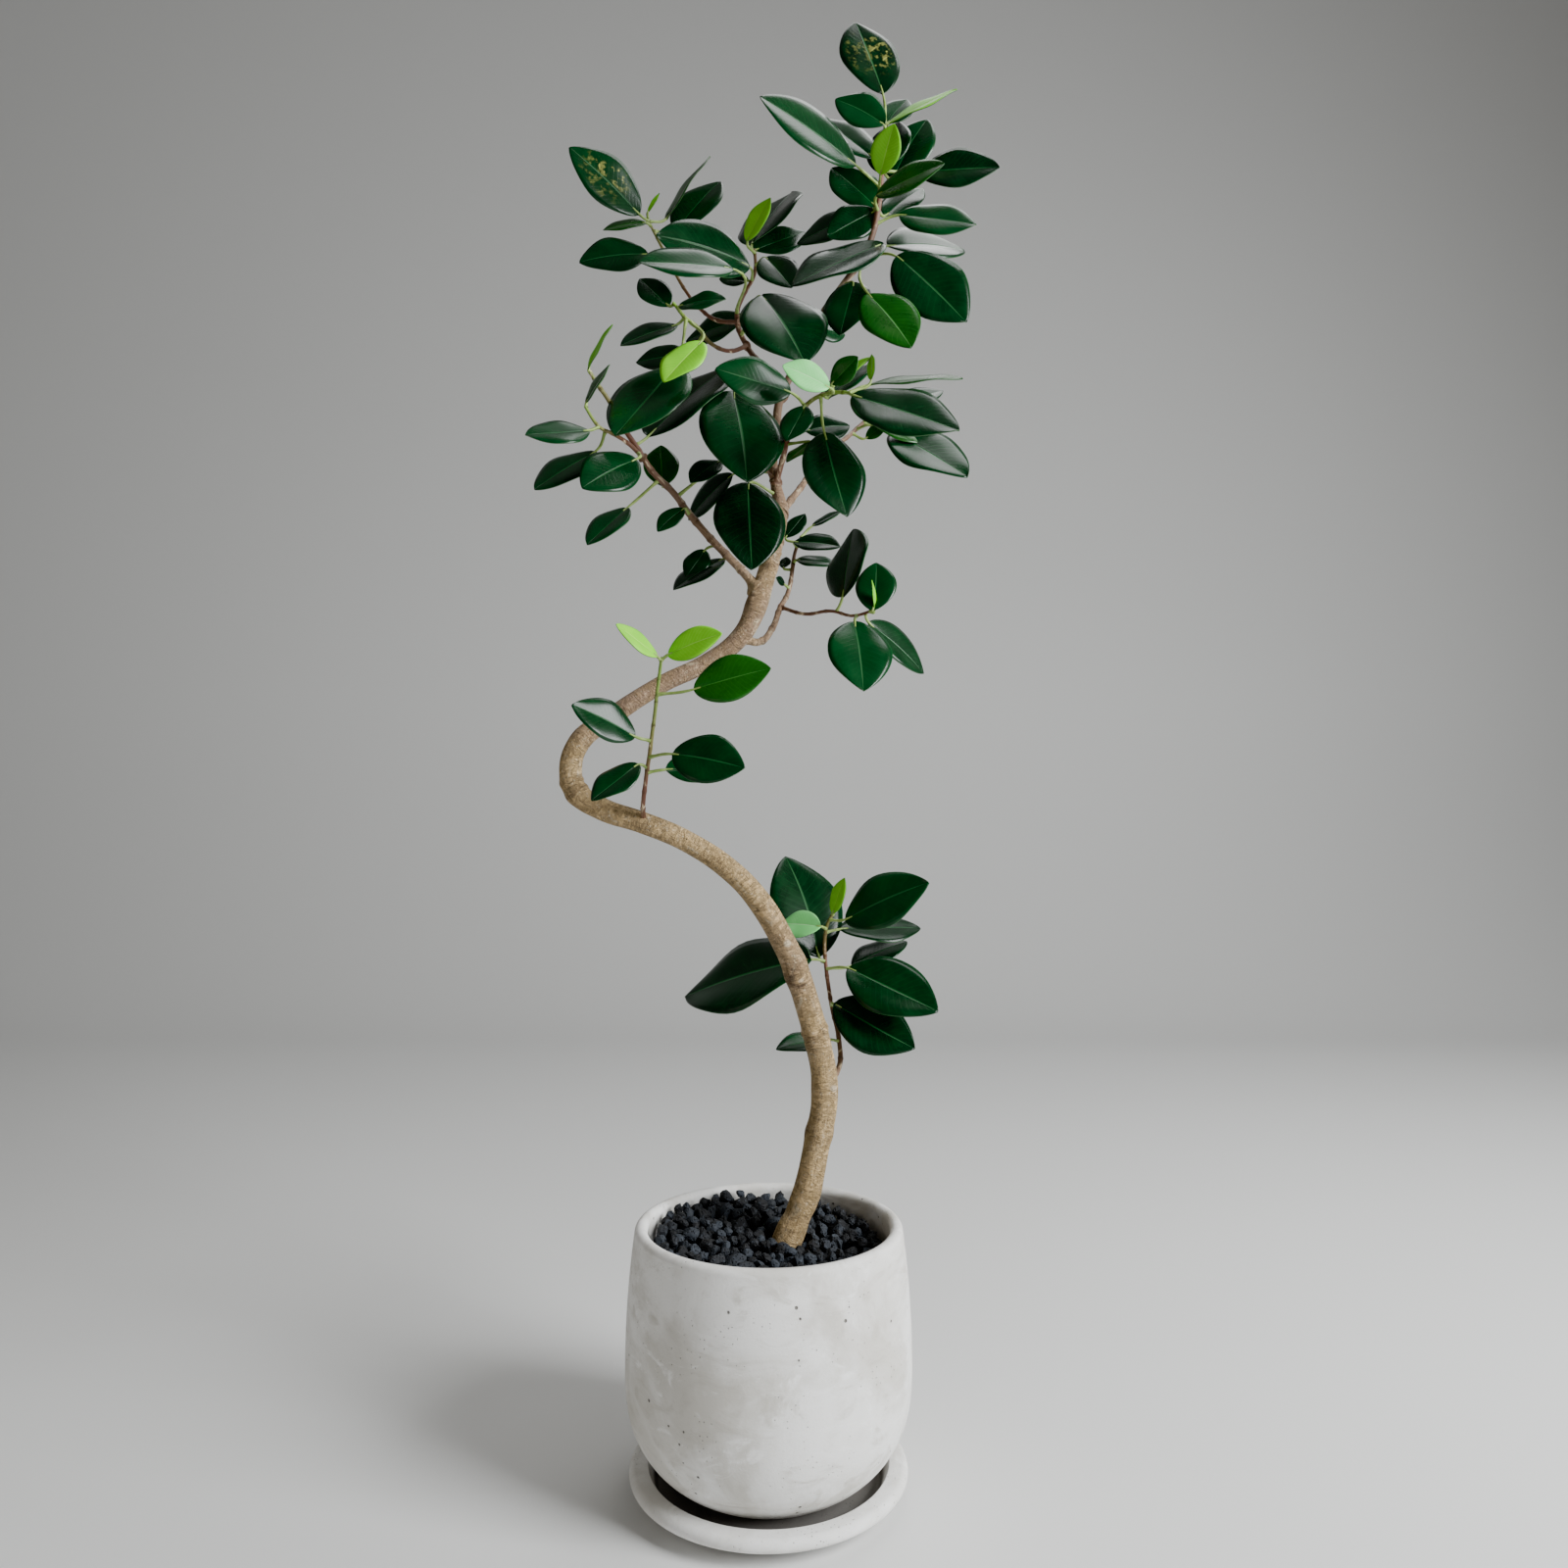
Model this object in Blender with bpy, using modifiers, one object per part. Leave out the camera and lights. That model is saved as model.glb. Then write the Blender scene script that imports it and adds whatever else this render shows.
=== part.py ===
"""A potted ficus: a bent, bare trunk with leafy twigs in a pale cast-clay pot, on a saucer.

Blender 4.5, metres, +Z up. The origin is the middle of the saucer's underside, -Y is the front.
Run with: blender --background --python part.py
"""

import math

import bmesh
import bpy
from mathutils import Quaternion, Vector

MM = 0.001
GAP = 0.3 * MM  # between pieces that touch

# Saucer
SAUCER_RADIUS = 84.6 * MM
SAUCER_HEIGHT = 17 * MM
SAUCER_FLOOR = 6 * MM
SAUCER_FOOT_RADIUS = 56 * MM
SAUCER_RIM_WIDTH = 11.6 * MM
SAUCER_EDGE_ROUND = 4 * MM
SAUCER_WELL_SLOPE = 4 * MM  # how far the well's wall leans in on its way down
FOOT_BEVEL = 3 * MM  # round the underside of the saucer and of the pot

# Pot
POT_HEIGHT = 151.7 * MM
POT_RIM_RADIUS = 82 * MM
POT_BELLY_RADIUS = 87.5 * MM
POT_BELLY_HEIGHT = 73 * MM
POT_BASE_RADIUS = 42 * MM
POT_WALL = 8 * MM  # and the lip's thickness, rounded over the top
POT_FLOOR = 11 * MM
DRAIN_RADIUS = 8 * MM
BOWL_FULLNESS = (3, 0.79)  # the two powers that round the pot's underside

# Filling
GRAVEL_BELOW_RIM = 13 * MM
GRAVEL_DEPTH = 15 * MM
GRAVEL_CROWN = 2 * MM  # how much lower it lies against the pot's wall

# Plant
STEM_HEIGHT = 718 * MM  # from the gravel to the end of the leader
TRUNK_RADIUS = 8.3 * MM
TWIG_THICKNESS = 1.0  # share of the radii below
BURIED_DEPTH = 55 * MM  # of the trunk's foot, along its own slant
LEAF_THICKNESS = 1.2 * MM
LEAF_STATIONS = (0, 0.12, 0.32, 0.54, 0.76, 0.92, 1)  # along the blade, where its width is set
STALK_ROWS = 2  # of the leaf's grid, before the blade starts
PETIOLE_WIDTH = 2 * MM
LEAF_FOLD = 0.16  # rise of the blade's sides over their distance from the midrib
LEAF_ARCH = 0.10  # drop of the tip over the blade's length

TURN_STEPS = 40  # round the pot and saucer
TRUNK_SIDES = 3  # Blender's bevel_resolution
TWIG_SIDES = 2

# Trunk and leader: x, y and height above the gravel in mm, then the radius over TRUNK_RADIUS.
TRUNK = (
    (13, 3, 4, 1.12),
    (22, 4, 27, 1.02),
    (30, 8, 56, 0.99),
    (35, 10, 86, 1.00),
    (32, 10, 116, 0.98),
    (23, 8, 147, 0.95),
    (11, 4, 180, 0.93),
    (-4, 0, 206, 0.88),
    (-24, -4, 229, 0.84),
    (-49, -8, 246, 0.79),
    (-79, -12, 259, 0.81),
    (-105, -14, 268, 0.84),
    (-120, -14, 278, 0.86),
    (-124, -12, 292, 0.86),
    (-119, -8, 309, 0.81),
    (-101, -4, 325, 0.72),
    (-69, 0, 347, 0.66),
    (-40, 2, 362, 0.67),
    (-19, 2, 378, 0.74),
    (-9, 0, 395, 0.79),
    (-3, 0, 416, 0.74),
    (3, 0, 438, 0.67),
    (7, 0, 459, 0.58),
    (4, 2, 477, 0.42),
    (2, 4, 494, 0.37),
    (4, 6, 514, 0.35),
    (7, 8, 538, 0.33),
    (17, 10, 560, 0.30),
    (34, 8, 593, 0.28),
    (49, 4, 613, 0.27),
    (61, 2, 629, 0.26),
    (68, 0, 646, 0.24),
    (71, 0, 662, 0.23),
    (73, 0, 679, 0.21),
    (74, 0, 699, 0.17),
    (76, 0, 718, 0.13),
)
LEADER_START = 22  # the trunk point where the leader begins

# Twigs: radius at the foot and at the tip in mm, then the route, whose first point lies inside the parent.
TWIGS = {
    "left_branch": (
        (3.2, 1.1),
        ((-8, 0, 409), (-18, -1, 421), (-28, -1, 431), (-47, -5, 451), (-62, -12, 469),
         (-74, -18, 480), (-82, -23, 492), (-90, -28, 503), (-98, -35, 517), (-106, -40, 528),
         (-109, -42, 533)),
    ),
    "left_twig": (
        (1.5, 0.9),
        ((-79, -21, 487), (-87, -33, 492), (-94, -45, 493), (-101, -54, 494), (-107, -66, 501)),
    ),
    "right_branch": (
        (2.8, 1.0),
        ((-18, 2, 378), (-7, 8, 376), (2, 18, 388), (7, 26, 403), (12, 32, 414), (15, 39, 432),
         (17, 43, 445), (21, 46, 456)),
    ),
    "right_twig": (
        (1.3, 0.9),
        ((7, 27, 403), (23, 11, 395), (39, -7, 393), (52, -21, 387), (62, -34, 387)),
    ),
    "right_fork": (
        (2.6, 1.3),
        ((7, 0, 458), (19, 14, 478), (29, 26, 496), (41, 41, 515), (54, 56, 530), (66, 68, 545)),
    ),
    "centre_stem": (
        (2.0, 1.1),
        ((4, 2, 479), (9, -10, 492), (13, -23, 504), (19, -33, 510), (26, -44, 514), (37, -53, 515),
         (49, -60, 512)),
    ),
    "left_stem": (
        (2.6, 1.0),
        ((7, 8, 538), (-4, 23, 564), (-16, 33, 584), (-23, 37, 607), (-18, 36, 622), (-11, 35, 635),
         (-11, 36, 653)),
    ),
    "left_low_twig": (
        (1.6, 1.0),
        ((-16, 33, 584), (-27, 21, 575), (-39, 5, 573), (-46, -10, 576), (-54, -24, 577),
         (-59, -34, 580)),
    ),
    "left_long_twig": (
        (1.6, 0.9),
        ((-21, 36, 602), (-37, 43, 607), (-49, 49, 618), (-59, 53, 632), (-70, 56, 653),
         (-76, 57, 665), (-82, 58, 677), (-88, 62, 691)),
    ),
    "bend_shoot": (
        (1.6, 0.9),
        ((-78, -12, 259), (-76, -30, 271), (-73, -40, 286), (-69, -49, 307), (-66, -55, 326),
         (-64, -59, 340), (-62, -62, 353)),
    ),
    "lower_twig": (
        (2.0, 1.0),
        ((35, 10, 93), (45, 29, 101), (46, 39, 114), (41, 50, 139), (38, 56, 161), (37, 58, 179),
         (39, 56, 192), (43, 56, 199)),
    ),
}

# Leaves, by the stem that bears them: the share of the stem's length where the stalk leaves it, the
# blade's base from there in mm, the blade's direction seen from the front in degrees, its lean towards
# the front, its roll about its own length, its length and width in mm, and its colour.
LEAVES = {
    "leader": (
        (0.99, (-1, 4, 25), 105, -4, -15, 59, 39, "deep"),
        (0.96, (0, -6, 5), 145, -6, -5, 38, 25, "deep"),
        (0.82, (-1, -16, 4), 75, 34, 30, 28, 21, "lime"),
        (0.84, (-17, -14, 6), 155, 27, -30, 70, 43, "deep"),
        (0.91, (-5, 6, 4), 130, -10, -25, 52, 32, "deep"),
        (0.88, (9, 14, 3), 65, -4, 20, 52, 34, "deep"),
        (0.88, (25, 6, 3), -5, 21, 15, 51, 31, "deep"),
        (0.78, (-2, -12, 4), 10, 34, 30, 46, 28, "fresh"),
        (0.75, (15, -4, 4), -15, 20, 25, 50, 31, "deep"),
        (0.70, (13, 7, 3), 20, -24, 30, 65, 40, "deep"),
        (0.66, (21, -22, -9), -50, 18, 5, 64, 42, "deep"),
        (0.67, (12, -14, 1), -150, 19, -40, 70, 43, "deep"),
        (0.10, (-27, 13, 3), -145, -18, -40, 42, 26, "deep"),
        (0.04, (-19, -15, 4), -85, 29, 15, 66, 43, "deep"),
        (0.59, (7, -6, -1), -105, 26, -20, 46, 30, "deep"),
        (0.65, (3, -37, -39), -60, 26, 10, 52, 34, "fresh"),
    ),
    "left_stem": (
        (0.83, (-1, -15, 2), 175, 35, -15, 65, 40, "deep"),
        (0.64, (0, -57, 1), -175, 27, -35, 60, 36, "deep"),
        (0.63, (5, 10, 2), -175, -24, -25, 47, 28, "deep"),
        (0.98, (-5, -12, 2), 60, 20, 35, 30, 18, "lime"),
        (0.99, (-3, 8, 9), 70, -25, 40, 76, 46, "deep"),
        (0.51, (15, -40, 8), -65, 34, 15, 75, 52, "deep"),
        (0.04, (-29, -14, -5), -80, 31, 20, 79, 52, "deep"),
    ),
    "left_long_twig": (
        (0.97, (-6, -7, 1), 140, 27, -20, 59, 36, "deep"),
        (0.89, (15, 10, 6), 60, -10, 25, 56, 34, "deep"),
        (0.70, (-13, -3, 1), -165, 21, -15, 48, 29, "deep"),
    ),
    "left_low_twig": (
        (0.77, (9, -21, -23), -125, 27, -25, 41, 25, "lime"),
        (0.82, (-6, 2, -29), -120, 34, -25, 77, 47, "deep"),
    ),
    "left_branch": (
        (0.70, (7, 7, 8), 55, -18, 40, 83, 50, "deep"),
        (0.55, (-21, 4, -17), -130, 34, -35, 40, 24, "deep"),
    ),
    "centre_stem": (
        (0.62, (-9, -14, 3), 170, 28, -10, 46, 28, "deep"),
        (0.87, (-3, -12, -2), 160, 21, -10, 29, 18, "mint"),
        (0.99, (1, -6, -4), -25, 27, 30, 69, 42, "deep"),
        (0.44, (8, -1, -4), 20, -24, 20, 33, 20, "deep"),
        (0.77, (2, -3, -24), -75, 21, 20, 57, 37, "deep"),
    ),
    "right_fork": (
        (0.99, (20, -1, -7), -40, 34, 30, 72, 44, "deep"),
    ),
    "right_twig": (
        (0.63, (4, -2, 9), 85, -25, 50, 57, 35, "deep"),
        (0.99, (2, -3, 0), 85, -21, 10, 36, 24, "deep"),
        (0.85, (-2, -7, -5), -85, 40, 10, 56, 37, "deep"),
        (0.94, (2, 4, -5), -35, -18, 45, 48, 29, "deep"),
    ),
    "left_twig": (
        (0.73, (-5, -4, -4), -165, 34, -35, 39, 24, "deep"),
        (0.63, (-8, 13, -8), -140, 27, -35, 47, 29, "deep"),
        (0.08, (2, -23, -12), -135, 42, -5, 47, 30, "deep"),
    ),
    "bend_shoot": (
        (0.99, (4, -2, 3), 20, 27, 30, 35, 21, "lime"),
        (0.81, (22, -7, 2), 15, 20, 20, 46, 28, "fresh"),
        (0.56, (-9, -4, 2), 150, 34, -35, 41, 25, "deep"),
        (0.47, (15, -11, 1), -10, 27, 20, 45, 30, "deep"),
        (0.41, (-5, -3, 2), -140, 33, -40, 37, 23, "deep"),
    ),
    "lower_twig": (
        (0.73, (-4, 19, 2), 105, -20, -25, 79, 51, "deep"),
        (0.91, (-4, -6, 2), 175, -26, -30, 30, 20, "mint"),
        (0.96, (10, -6, 0), 30, 26, 40, 62, 38, "deep"),
        (0.89, (10, 5, 2), 5, -12, 60, 57, 35, "deep"),
        (0.70, (14, -11, 2), -20, 34, 35, 67, 41, "deep"),
        (0.51, (1, -13, 3), -25, 20, 30, 58, 38, "deep"),
        (0.74, (-10, -5, 2), -165, -26, -55, 105, 64, "deep"),
    ),
}
LEAF_COLOURS = {
    "deep": (0.012, 0.045, 0.022),
    "fresh": (0.06, 0.16, 0.03),
    "lime": (0.25, 0.50, 0.06),
    "mint": (0.40, 0.62, 0.30),
}

# Worked out from the sizes above
POT_BOTTOM = SAUCER_FLOOR + GAP
POT_TOP = POT_BOTTOM + POT_HEIGHT
GRAVEL_TOP = POT_TOP - GRAVEL_BELOW_RIM
GROWTH = STEM_HEIGHT / TRUNK[-1][2]  # metres for a millimetre of the plant's routes


def clear_scene():
    for thing in list(bpy.data.objects):
        bpy.data.objects.remove(thing)


def new_collection(name, hidden=False):
    collection = bpy.data.collections.new(name)
    bpy.context.scene.collection.children.link(collection)
    collection.hide_render = hidden
    return collection


def material(name, colour, roughness):
    made = bpy.data.materials.new(name)
    made.use_nodes = True
    shader = made.node_tree.nodes["Principled BSDF"]
    shader.inputs["Base Color"].default_value = (*colour, 1)
    shader.inputs["Roughness"].default_value = roughness
    shader.inputs["Metallic"].default_value = 0
    return made


def add_object(name, mesh, collection, finish=None):
    thing = bpy.data.objects.new(name, mesh)
    collection.objects.link(thing)
    if finish:
        mesh.materials.append(finish)
    if collection.hide_render:
        thing.hide_render = True
        thing.display_type = "WIRE"
    return thing


def turned(name, profile, collection, finish):
    """A closed outline of (radius, height) points, run top to bottom down its outer side, turned about Z."""
    mesh = bpy.data.meshes.new(name)
    shape = bmesh.new()
    points = [shape.verts.new((radius, 0, height)) for radius, height in profile]
    for start, end in zip(points, points[1:]):
        shape.edges.new((start, end))
    if profile[0][0] > 0:
        shape.edges.new((points[-1], points[0]))
    shape.to_mesh(mesh)
    shape.free()
    thing = add_object(name, mesh, collection, finish)
    screw = thing.modifiers.new("Turn", "SCREW")
    screw.steps = screw.render_steps = TURN_STEPS
    screw.use_merge_vertices = True
    screw.merge_threshold = 1e-5
    return thing


def arc(centre, radius, start, end, steps):
    """Points (radius, height) round a centre, from one angle in degrees to another."""
    for step in range(steps + 1):
        angle = math.radians(start + (end - start) * step / steps)
        yield centre[0] + radius * math.cos(angle), centre[1] + radius * math.sin(angle)


def pot_outside(height):
    """The pot's outer radius at a height above its base."""
    if height >= POT_BELLY_HEIGHT:
        up = (height - POT_BELLY_HEIGHT) / (POT_HEIGHT - POT_BELLY_HEIGHT)
        return POT_BELLY_RADIUS - (POT_BELLY_RADIUS - POT_RIM_RADIUS) * up ** 2
    down = 1 - max(height, 0) / POT_BELLY_HEIGHT
    power, root = BOWL_FULLNESS
    return POT_BASE_RADIUS + (POT_BELLY_RADIUS - POT_BASE_RADIUS) * (1 - down ** power) ** root


def pot_inside(height, wall):
    """The point (radius, height) that lies one wall in from the outside at a height above the base."""
    step = 0.05 * MM
    slope = (pot_outside(height + step) - pot_outside(height)) / step
    length = math.hypot(1, slope)
    return pot_outside(height) - wall / length, POT_BOTTOM + height + wall * slope / length


def inside_profile(wall, floor, top):
    """The hollow's outline from its floor up to a height, one wall in from the outside."""
    outline = []
    for step in range(1, 60):
        height = POT_HEIGHT * (step / 60) ** 1.5
        radius, level = pot_inside(height, wall)
        far_enough = not outline or math.dist(outline[-1], (radius, level)) > 14 * MM
        if floor + 1 * MM < level < top - 3 * MM and far_enough:
            outline.append((radius, level))
    foot = outline[0][0] - 3 * MM
    top_height = top - POT_BOTTOM
    return [(foot, floor), *outline, (pot_inside(top_height, wall)[0], top)]


def make_saucer(collection, finish):
    top = SAUCER_HEIGHT
    rim_inside = SAUCER_RADIUS - SAUCER_RIM_WIDTH
    rounded = arc((SAUCER_RADIUS - SAUCER_EDGE_ROUND, top - SAUCER_EDGE_ROUND), SAUCER_EDGE_ROUND, 90, -50, 5)
    well = rim_inside - SAUCER_WELL_SLOPE
    profile = [
        (0, SAUCER_FLOOR),
        (well - FOOT_BEVEL, SAUCER_FLOOR),
        (well, SAUCER_FLOOR + FOOT_BEVEL / 2),
        (rim_inside - 0.8 * MM, top - 1 * MM),
        (rim_inside + 0.4 * MM, top),
        *rounded,
        (SAUCER_FOOT_RADIUS + FOOT_BEVEL, FOOT_BEVEL / 2),
        (SAUCER_FOOT_RADIUS, 0),
        (0, 0),
    ]
    return turned("saucer", profile, collection, finish)


def make_pot(collection, finish):
    lip = POT_WALL / 2
    rim_height = POT_HEIGHT - lip
    outside = [(pot_outside(h), POT_BOTTOM + h) for h in bowl_heights(rim_height)]
    inner_top = POT_BOTTOM + rim_height
    inside = inside_profile(POT_WALL, POT_BOTTOM + POT_FLOOR, inner_top)
    centre = (outside[0][0] - lip, inner_top)
    profile = [
        *inside[:-1],
        *reversed(list(arc(centre, lip, 0, 180, 5))),
        *outside[1:],
        (POT_BASE_RADIUS - FOOT_BEVEL, POT_BOTTOM),
        (DRAIN_RADIUS, POT_BOTTOM),
        (DRAIN_RADIUS, POT_BOTTOM + POT_FLOOR),
    ]
    return turned("pot", profile, collection, finish)


def bowl_heights(rim_height):
    """Heights down the pot's outside, closer together where its underside turns in."""
    above = [rim_height - (rim_height - POT_BELLY_HEIGHT) * step / 3 for step in range(3)]
    below = [POT_BELLY_HEIGHT * (step / 7) ** 1.6 for step in range(7, 0, -1)]
    return [*above, *below, 0.4 * MM]


def make_filling(collection, soil_finish, gravel_finish, root_cutter):
    """The soil fills the pot up to the gravel, and both are cut round the buried foot of the trunk."""
    soil_top = GRAVEL_TOP - GRAVEL_DEPTH - GAP
    soil_outline = inside_profile(POT_WALL + GAP, POT_BOTTOM + POT_FLOOR + GAP, soil_top)
    soil = turned("soil", [(0, soil_top), *reversed(soil_outline), (0, soil_outline[0][1])], collection, soil_finish)
    gravel_bottom = GRAVEL_TOP - GRAVEL_DEPTH
    edge_top = GRAVEL_TOP - GRAVEL_CROWN
    top_radius = pot_inside(edge_top - POT_BOTTOM, POT_WALL + GAP)[0]
    bottom_radius = pot_inside(gravel_bottom - POT_BOTTOM, POT_WALL + GAP)[0]
    layer = [
        (0, GRAVEL_TOP),
        (top_radius * 0.6, GRAVEL_TOP - 0.5 * MM),
        (top_radius, edge_top),
        (bottom_radius, gravel_bottom),
        (0, gravel_bottom),
    ]
    gravel = turned("gravel", layer, collection, gravel_finish)
    for thing in (soil, gravel):
        join(thing, root_cutter, "DIFFERENCE")


def join(thing, other, operation):
    boolean = thing.modifiers.new(other.name, "BOOLEAN")
    boolean.operation = operation
    boolean.object = other
    boolean.solver = "EXACT"


def smooth(points, steps):
    """Points on a smooth curve through the given ones, which may carry a radius as a fourth value."""
    first = [2 * a - b for a, b in zip(points[0], points[1])]
    last = [2 * a - b for a, b in zip(points[-1], points[-2])]
    ring = [first, *points, last]
    made = []
    for before, start, end, after in zip(ring, ring[1:], ring[2:], ring[3:]):
        for step in range(steps):
            t = step / steps
            made.append(
                tuple(
                    0.5 * (2 * b + (c - a) * t + (2 * a - 5 * b + 4 * c - d) * t ** 2 + (3 * b - a - 3 * c + d) * t ** 3)
                    for a, b, c, d in zip(before, start, end, after)
                )
            )
    return [*made, tuple(points[-1])]


def tube(name, points, sides, collection, finish=None):
    """A round rod through points (x, y, z, radius), in metres, made a closed mesh."""
    curve = bpy.data.curves.new(name, "CURVE")
    curve.dimensions = "3D"
    curve.bevel_depth = 1
    curve.bevel_resolution = sides
    curve.use_fill_caps = True
    spline = curve.splines.new("POLY")
    spline.points.add(len(points) - 1)
    for place, (x, y, z, radius) in zip(spline.points, points):
        place.co = (x, y, z, 1)
        place.radius = radius
    drawn = bpy.data.objects.new(name, curve)
    bpy.context.scene.collection.objects.link(drawn)
    bpy.context.view_layer.update()
    mesh = bpy.data.meshes.new_from_object(drawn.evaluated_get(bpy.context.evaluated_depsgraph_get()))
    bpy.data.objects.remove(drawn)
    shape = bmesh.new()
    shape.from_mesh(mesh)
    bmesh.ops.remove_doubles(shape, verts=shape.verts, dist=1e-6)
    bmesh.ops.recalc_face_normals(shape, faces=shape.faces)
    shape.to_mesh(mesh)
    shape.free()
    return add_object(name, mesh, collection, finish)


def placed(point):
    """A point of the plant's routes in metres, with the gravel's top as their level."""
    return (point[0] * GROWTH, point[1] * GROWTH, GRAVEL_TOP + point[2] * GROWTH)


def trunk_route():
    above = [(*placed(point), point[3] * TRUNK_RADIUS) for point in TRUNK]
    foot = Vector(above[0][:3])
    way = foot - Vector(above[1][:3])
    buried = [
        (*(foot + way.normalized() * BURIED_DEPTH * share), TRUNK_RADIUS * (1.12 + 0.1 * share))
        for share in (1, 0.45)
    ]
    return smooth([*buried, *above], 2)


def twig_route(name):
    (foot, tip), route = TWIGS[name]
    last = len(route) - 1
    radii = [(foot + (tip - foot) * (i / last) ** 0.7) * MM * TWIG_THICKNESS for i in range(last + 1)]
    return smooth([(*placed(point), radius) for point, radius in zip(route, radii)], 2)


def stem_route(name):
    if name != "leader":
        return twig_route(name)
    return smooth([(*placed(point), point[3] * TRUNK_RADIUS) for point in TRUNK[LEADER_START:]], 2)


def make_wood(collection, helpers, finish):
    """Trunk, branches and twigs grow as one piece."""
    wood = tube("trunk_and_branches", trunk_route(), TRUNK_SIDES, collection, finish)
    for name in TWIGS:
        join(wood, tube(name, twig_route(name), TWIG_SIDES, helpers), "UNION")
    return wood


def make_root_cutter(helpers):
    """The trunk's foot, a gap thicker and a gap longer, for the hole that it fills."""
    route = [(x, y, z, radius + GAP) for x, y, z, radius in trunk_route()[:8]]
    start, after = Vector(route[0][:3]), Vector(route[1][:3])
    longer = start + (start - after).normalized() * GAP
    return tube("root_hole", [(*longer, route[0][3]), *route[1:]], TRUNK_SIDES, helpers)


def point_along(route, share):
    """The point, radius and direction at a share of a route's length."""
    places = [Vector(point[:3]) for point in route]
    lengths = [(b - a).length for a, b in zip(places, places[1:])]
    left = share * sum(lengths)
    for i, length in enumerate(lengths):
        if left <= length or i == len(lengths) - 1:
            break
        left -= length
    part = min(left / lengths[i], 1)
    radius = route[i][3] + (route[i + 1][3] - route[i][3]) * part
    return places[i].lerp(places[i + 1], part), radius, (places[i + 1] - places[i]).normalized()


def blade_axes(aim, lean, roll):
    """A blade's length, side and face directions."""
    aim, lean, roll = math.radians(aim), math.radians(lean), math.radians(roll)
    along = Vector((math.cos(aim) * math.cos(lean), -math.sin(lean), math.sin(aim) * math.cos(lean)))
    front = Vector((0, -1, 0))
    face = (front - along * along.dot(front)).normalized()
    face.rotate(Quaternion(along, -roll))
    return along, face.cross(along), face


def blade_half_width(t):
    """A ficus blade's outline over its length, as a share of its half width: broad, with a blunt point."""
    return math.sin(math.pi * t) ** 0.66 * (1 - 0.06 * t)


def make_leaf(name, route, row, collection, finish):
    """One grid holds the stalk and the blade, which a Solidify thickens."""
    share, reach, aim, lean, roll, length, width, _ = row
    length, width = length * GROWTH, width * GROWTH
    root, stem_radius, stem_way = point_along(route, share)
    base = root + Vector(reach) * GROWTH
    along, side, face = blade_axes(aim, lean, roll)
    way = (base - root).normalized()
    away = max(math.sqrt(max(1 - way.dot(stem_way) ** 2, 0)), 0.5)
    start = root + way * ((stem_radius + GAP + PETIOLE_WIDTH / 2) / away)
    bend = (base - start).length * 0.4
    stalk = [start, start + way * bend, base - along * bend, base]
    rows = STALK_ROWS + len(LEAF_STATIONS) - 1
    shape = bmesh.new()
    bmesh.ops.create_grid(shape, x_segments=2, y_segments=rows, size=1)
    for vert in shape.verts:
        across = round(vert.co.x)
        row_number = round((vert.co.y + 1) * rows / 2)
        if row_number < STALK_ROWS:
            t = row_number / STALK_ROWS
            weights = ((1 - t) ** 3, 3 * t * (1 - t) ** 2, 3 * t ** 2 * (1 - t), t ** 3)
            centre = sum((p * w for p, w in zip(stalk, weights)), Vector())
            tangent = way if row_number == 0 else (base - start).normalized()
            level = side - tangent * side.dot(tangent)
            if level.length < 0.3:
                level = face - tangent * face.dot(tangent)
            vert.co = centre + level.normalized() * across * PETIOLE_WIDTH / 2
        else:
            t = LEAF_STATIONS[row_number - STALK_ROWS]
            half = max(width / 2 * blade_half_width(min(t, 0.999)), PETIOLE_WIDTH / 2 * (1 - 0.5 * t))
            rise = LEAF_FOLD * half * abs(across) - LEAF_ARCH * length * t ** 2
            vert.co = base + along * length * t + side * half * across + face * rise
    mesh = bpy.data.meshes.new(name)
    shape.to_mesh(mesh)
    shape.free()
    leaf = add_object(name, mesh, collection, finish)
    solidify = leaf.modifiers.new("Thickness", "SOLIDIFY")
    solidify.thickness = LEAF_THICKNESS
    solidify.offset = 0
    return leaf


def shade_round(thing):
    thing.data.shade_smooth()
    thing.data.set_sharp_from_angle(angle=math.radians(50))


clear_scene()
parts = new_collection("potted_ficus")
cutters = new_collection("cutters", hidden=True)
clay = material("cast_clay", (0.78, 0.77, 0.73), 0.75)
bark = material("bark", (0.48, 0.40, 0.27), 0.8)
earth = material("potting_soil", (0.06, 0.04, 0.03), 0.95)
stones = material("lava_gravel", (0.03, 0.032, 0.036), 0.9)
greens = {kind: material(f"leaf_{kind}", colour, 0.35) for kind, colour in LEAF_COLOURS.items()}

make_saucer(parts, clay)
make_pot(parts, clay)
make_filling(parts, earth, stones, make_root_cutter(cutters))
make_wood(parts, cutters, bark)
for stem, rows in LEAVES.items():
    for number, row in enumerate(rows, 1):
        make_leaf(f"{stem}_leaf_{number}", stem_route(stem), row, parts, greens[row[-1]])
for thing in parts.objects:
    shade_round(thing)
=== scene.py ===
"""A potted ficus: a bent, bare trunk with leafy twigs in a pale cast-clay pot, on its saucer.

Blender 4.5, metres, +Z up, with the pot's axis as Z and -Y as the front.
"""

import math
import random

import bpy
import numpy as np
from mathutils import Matrix, Quaternion, Vector


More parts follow.
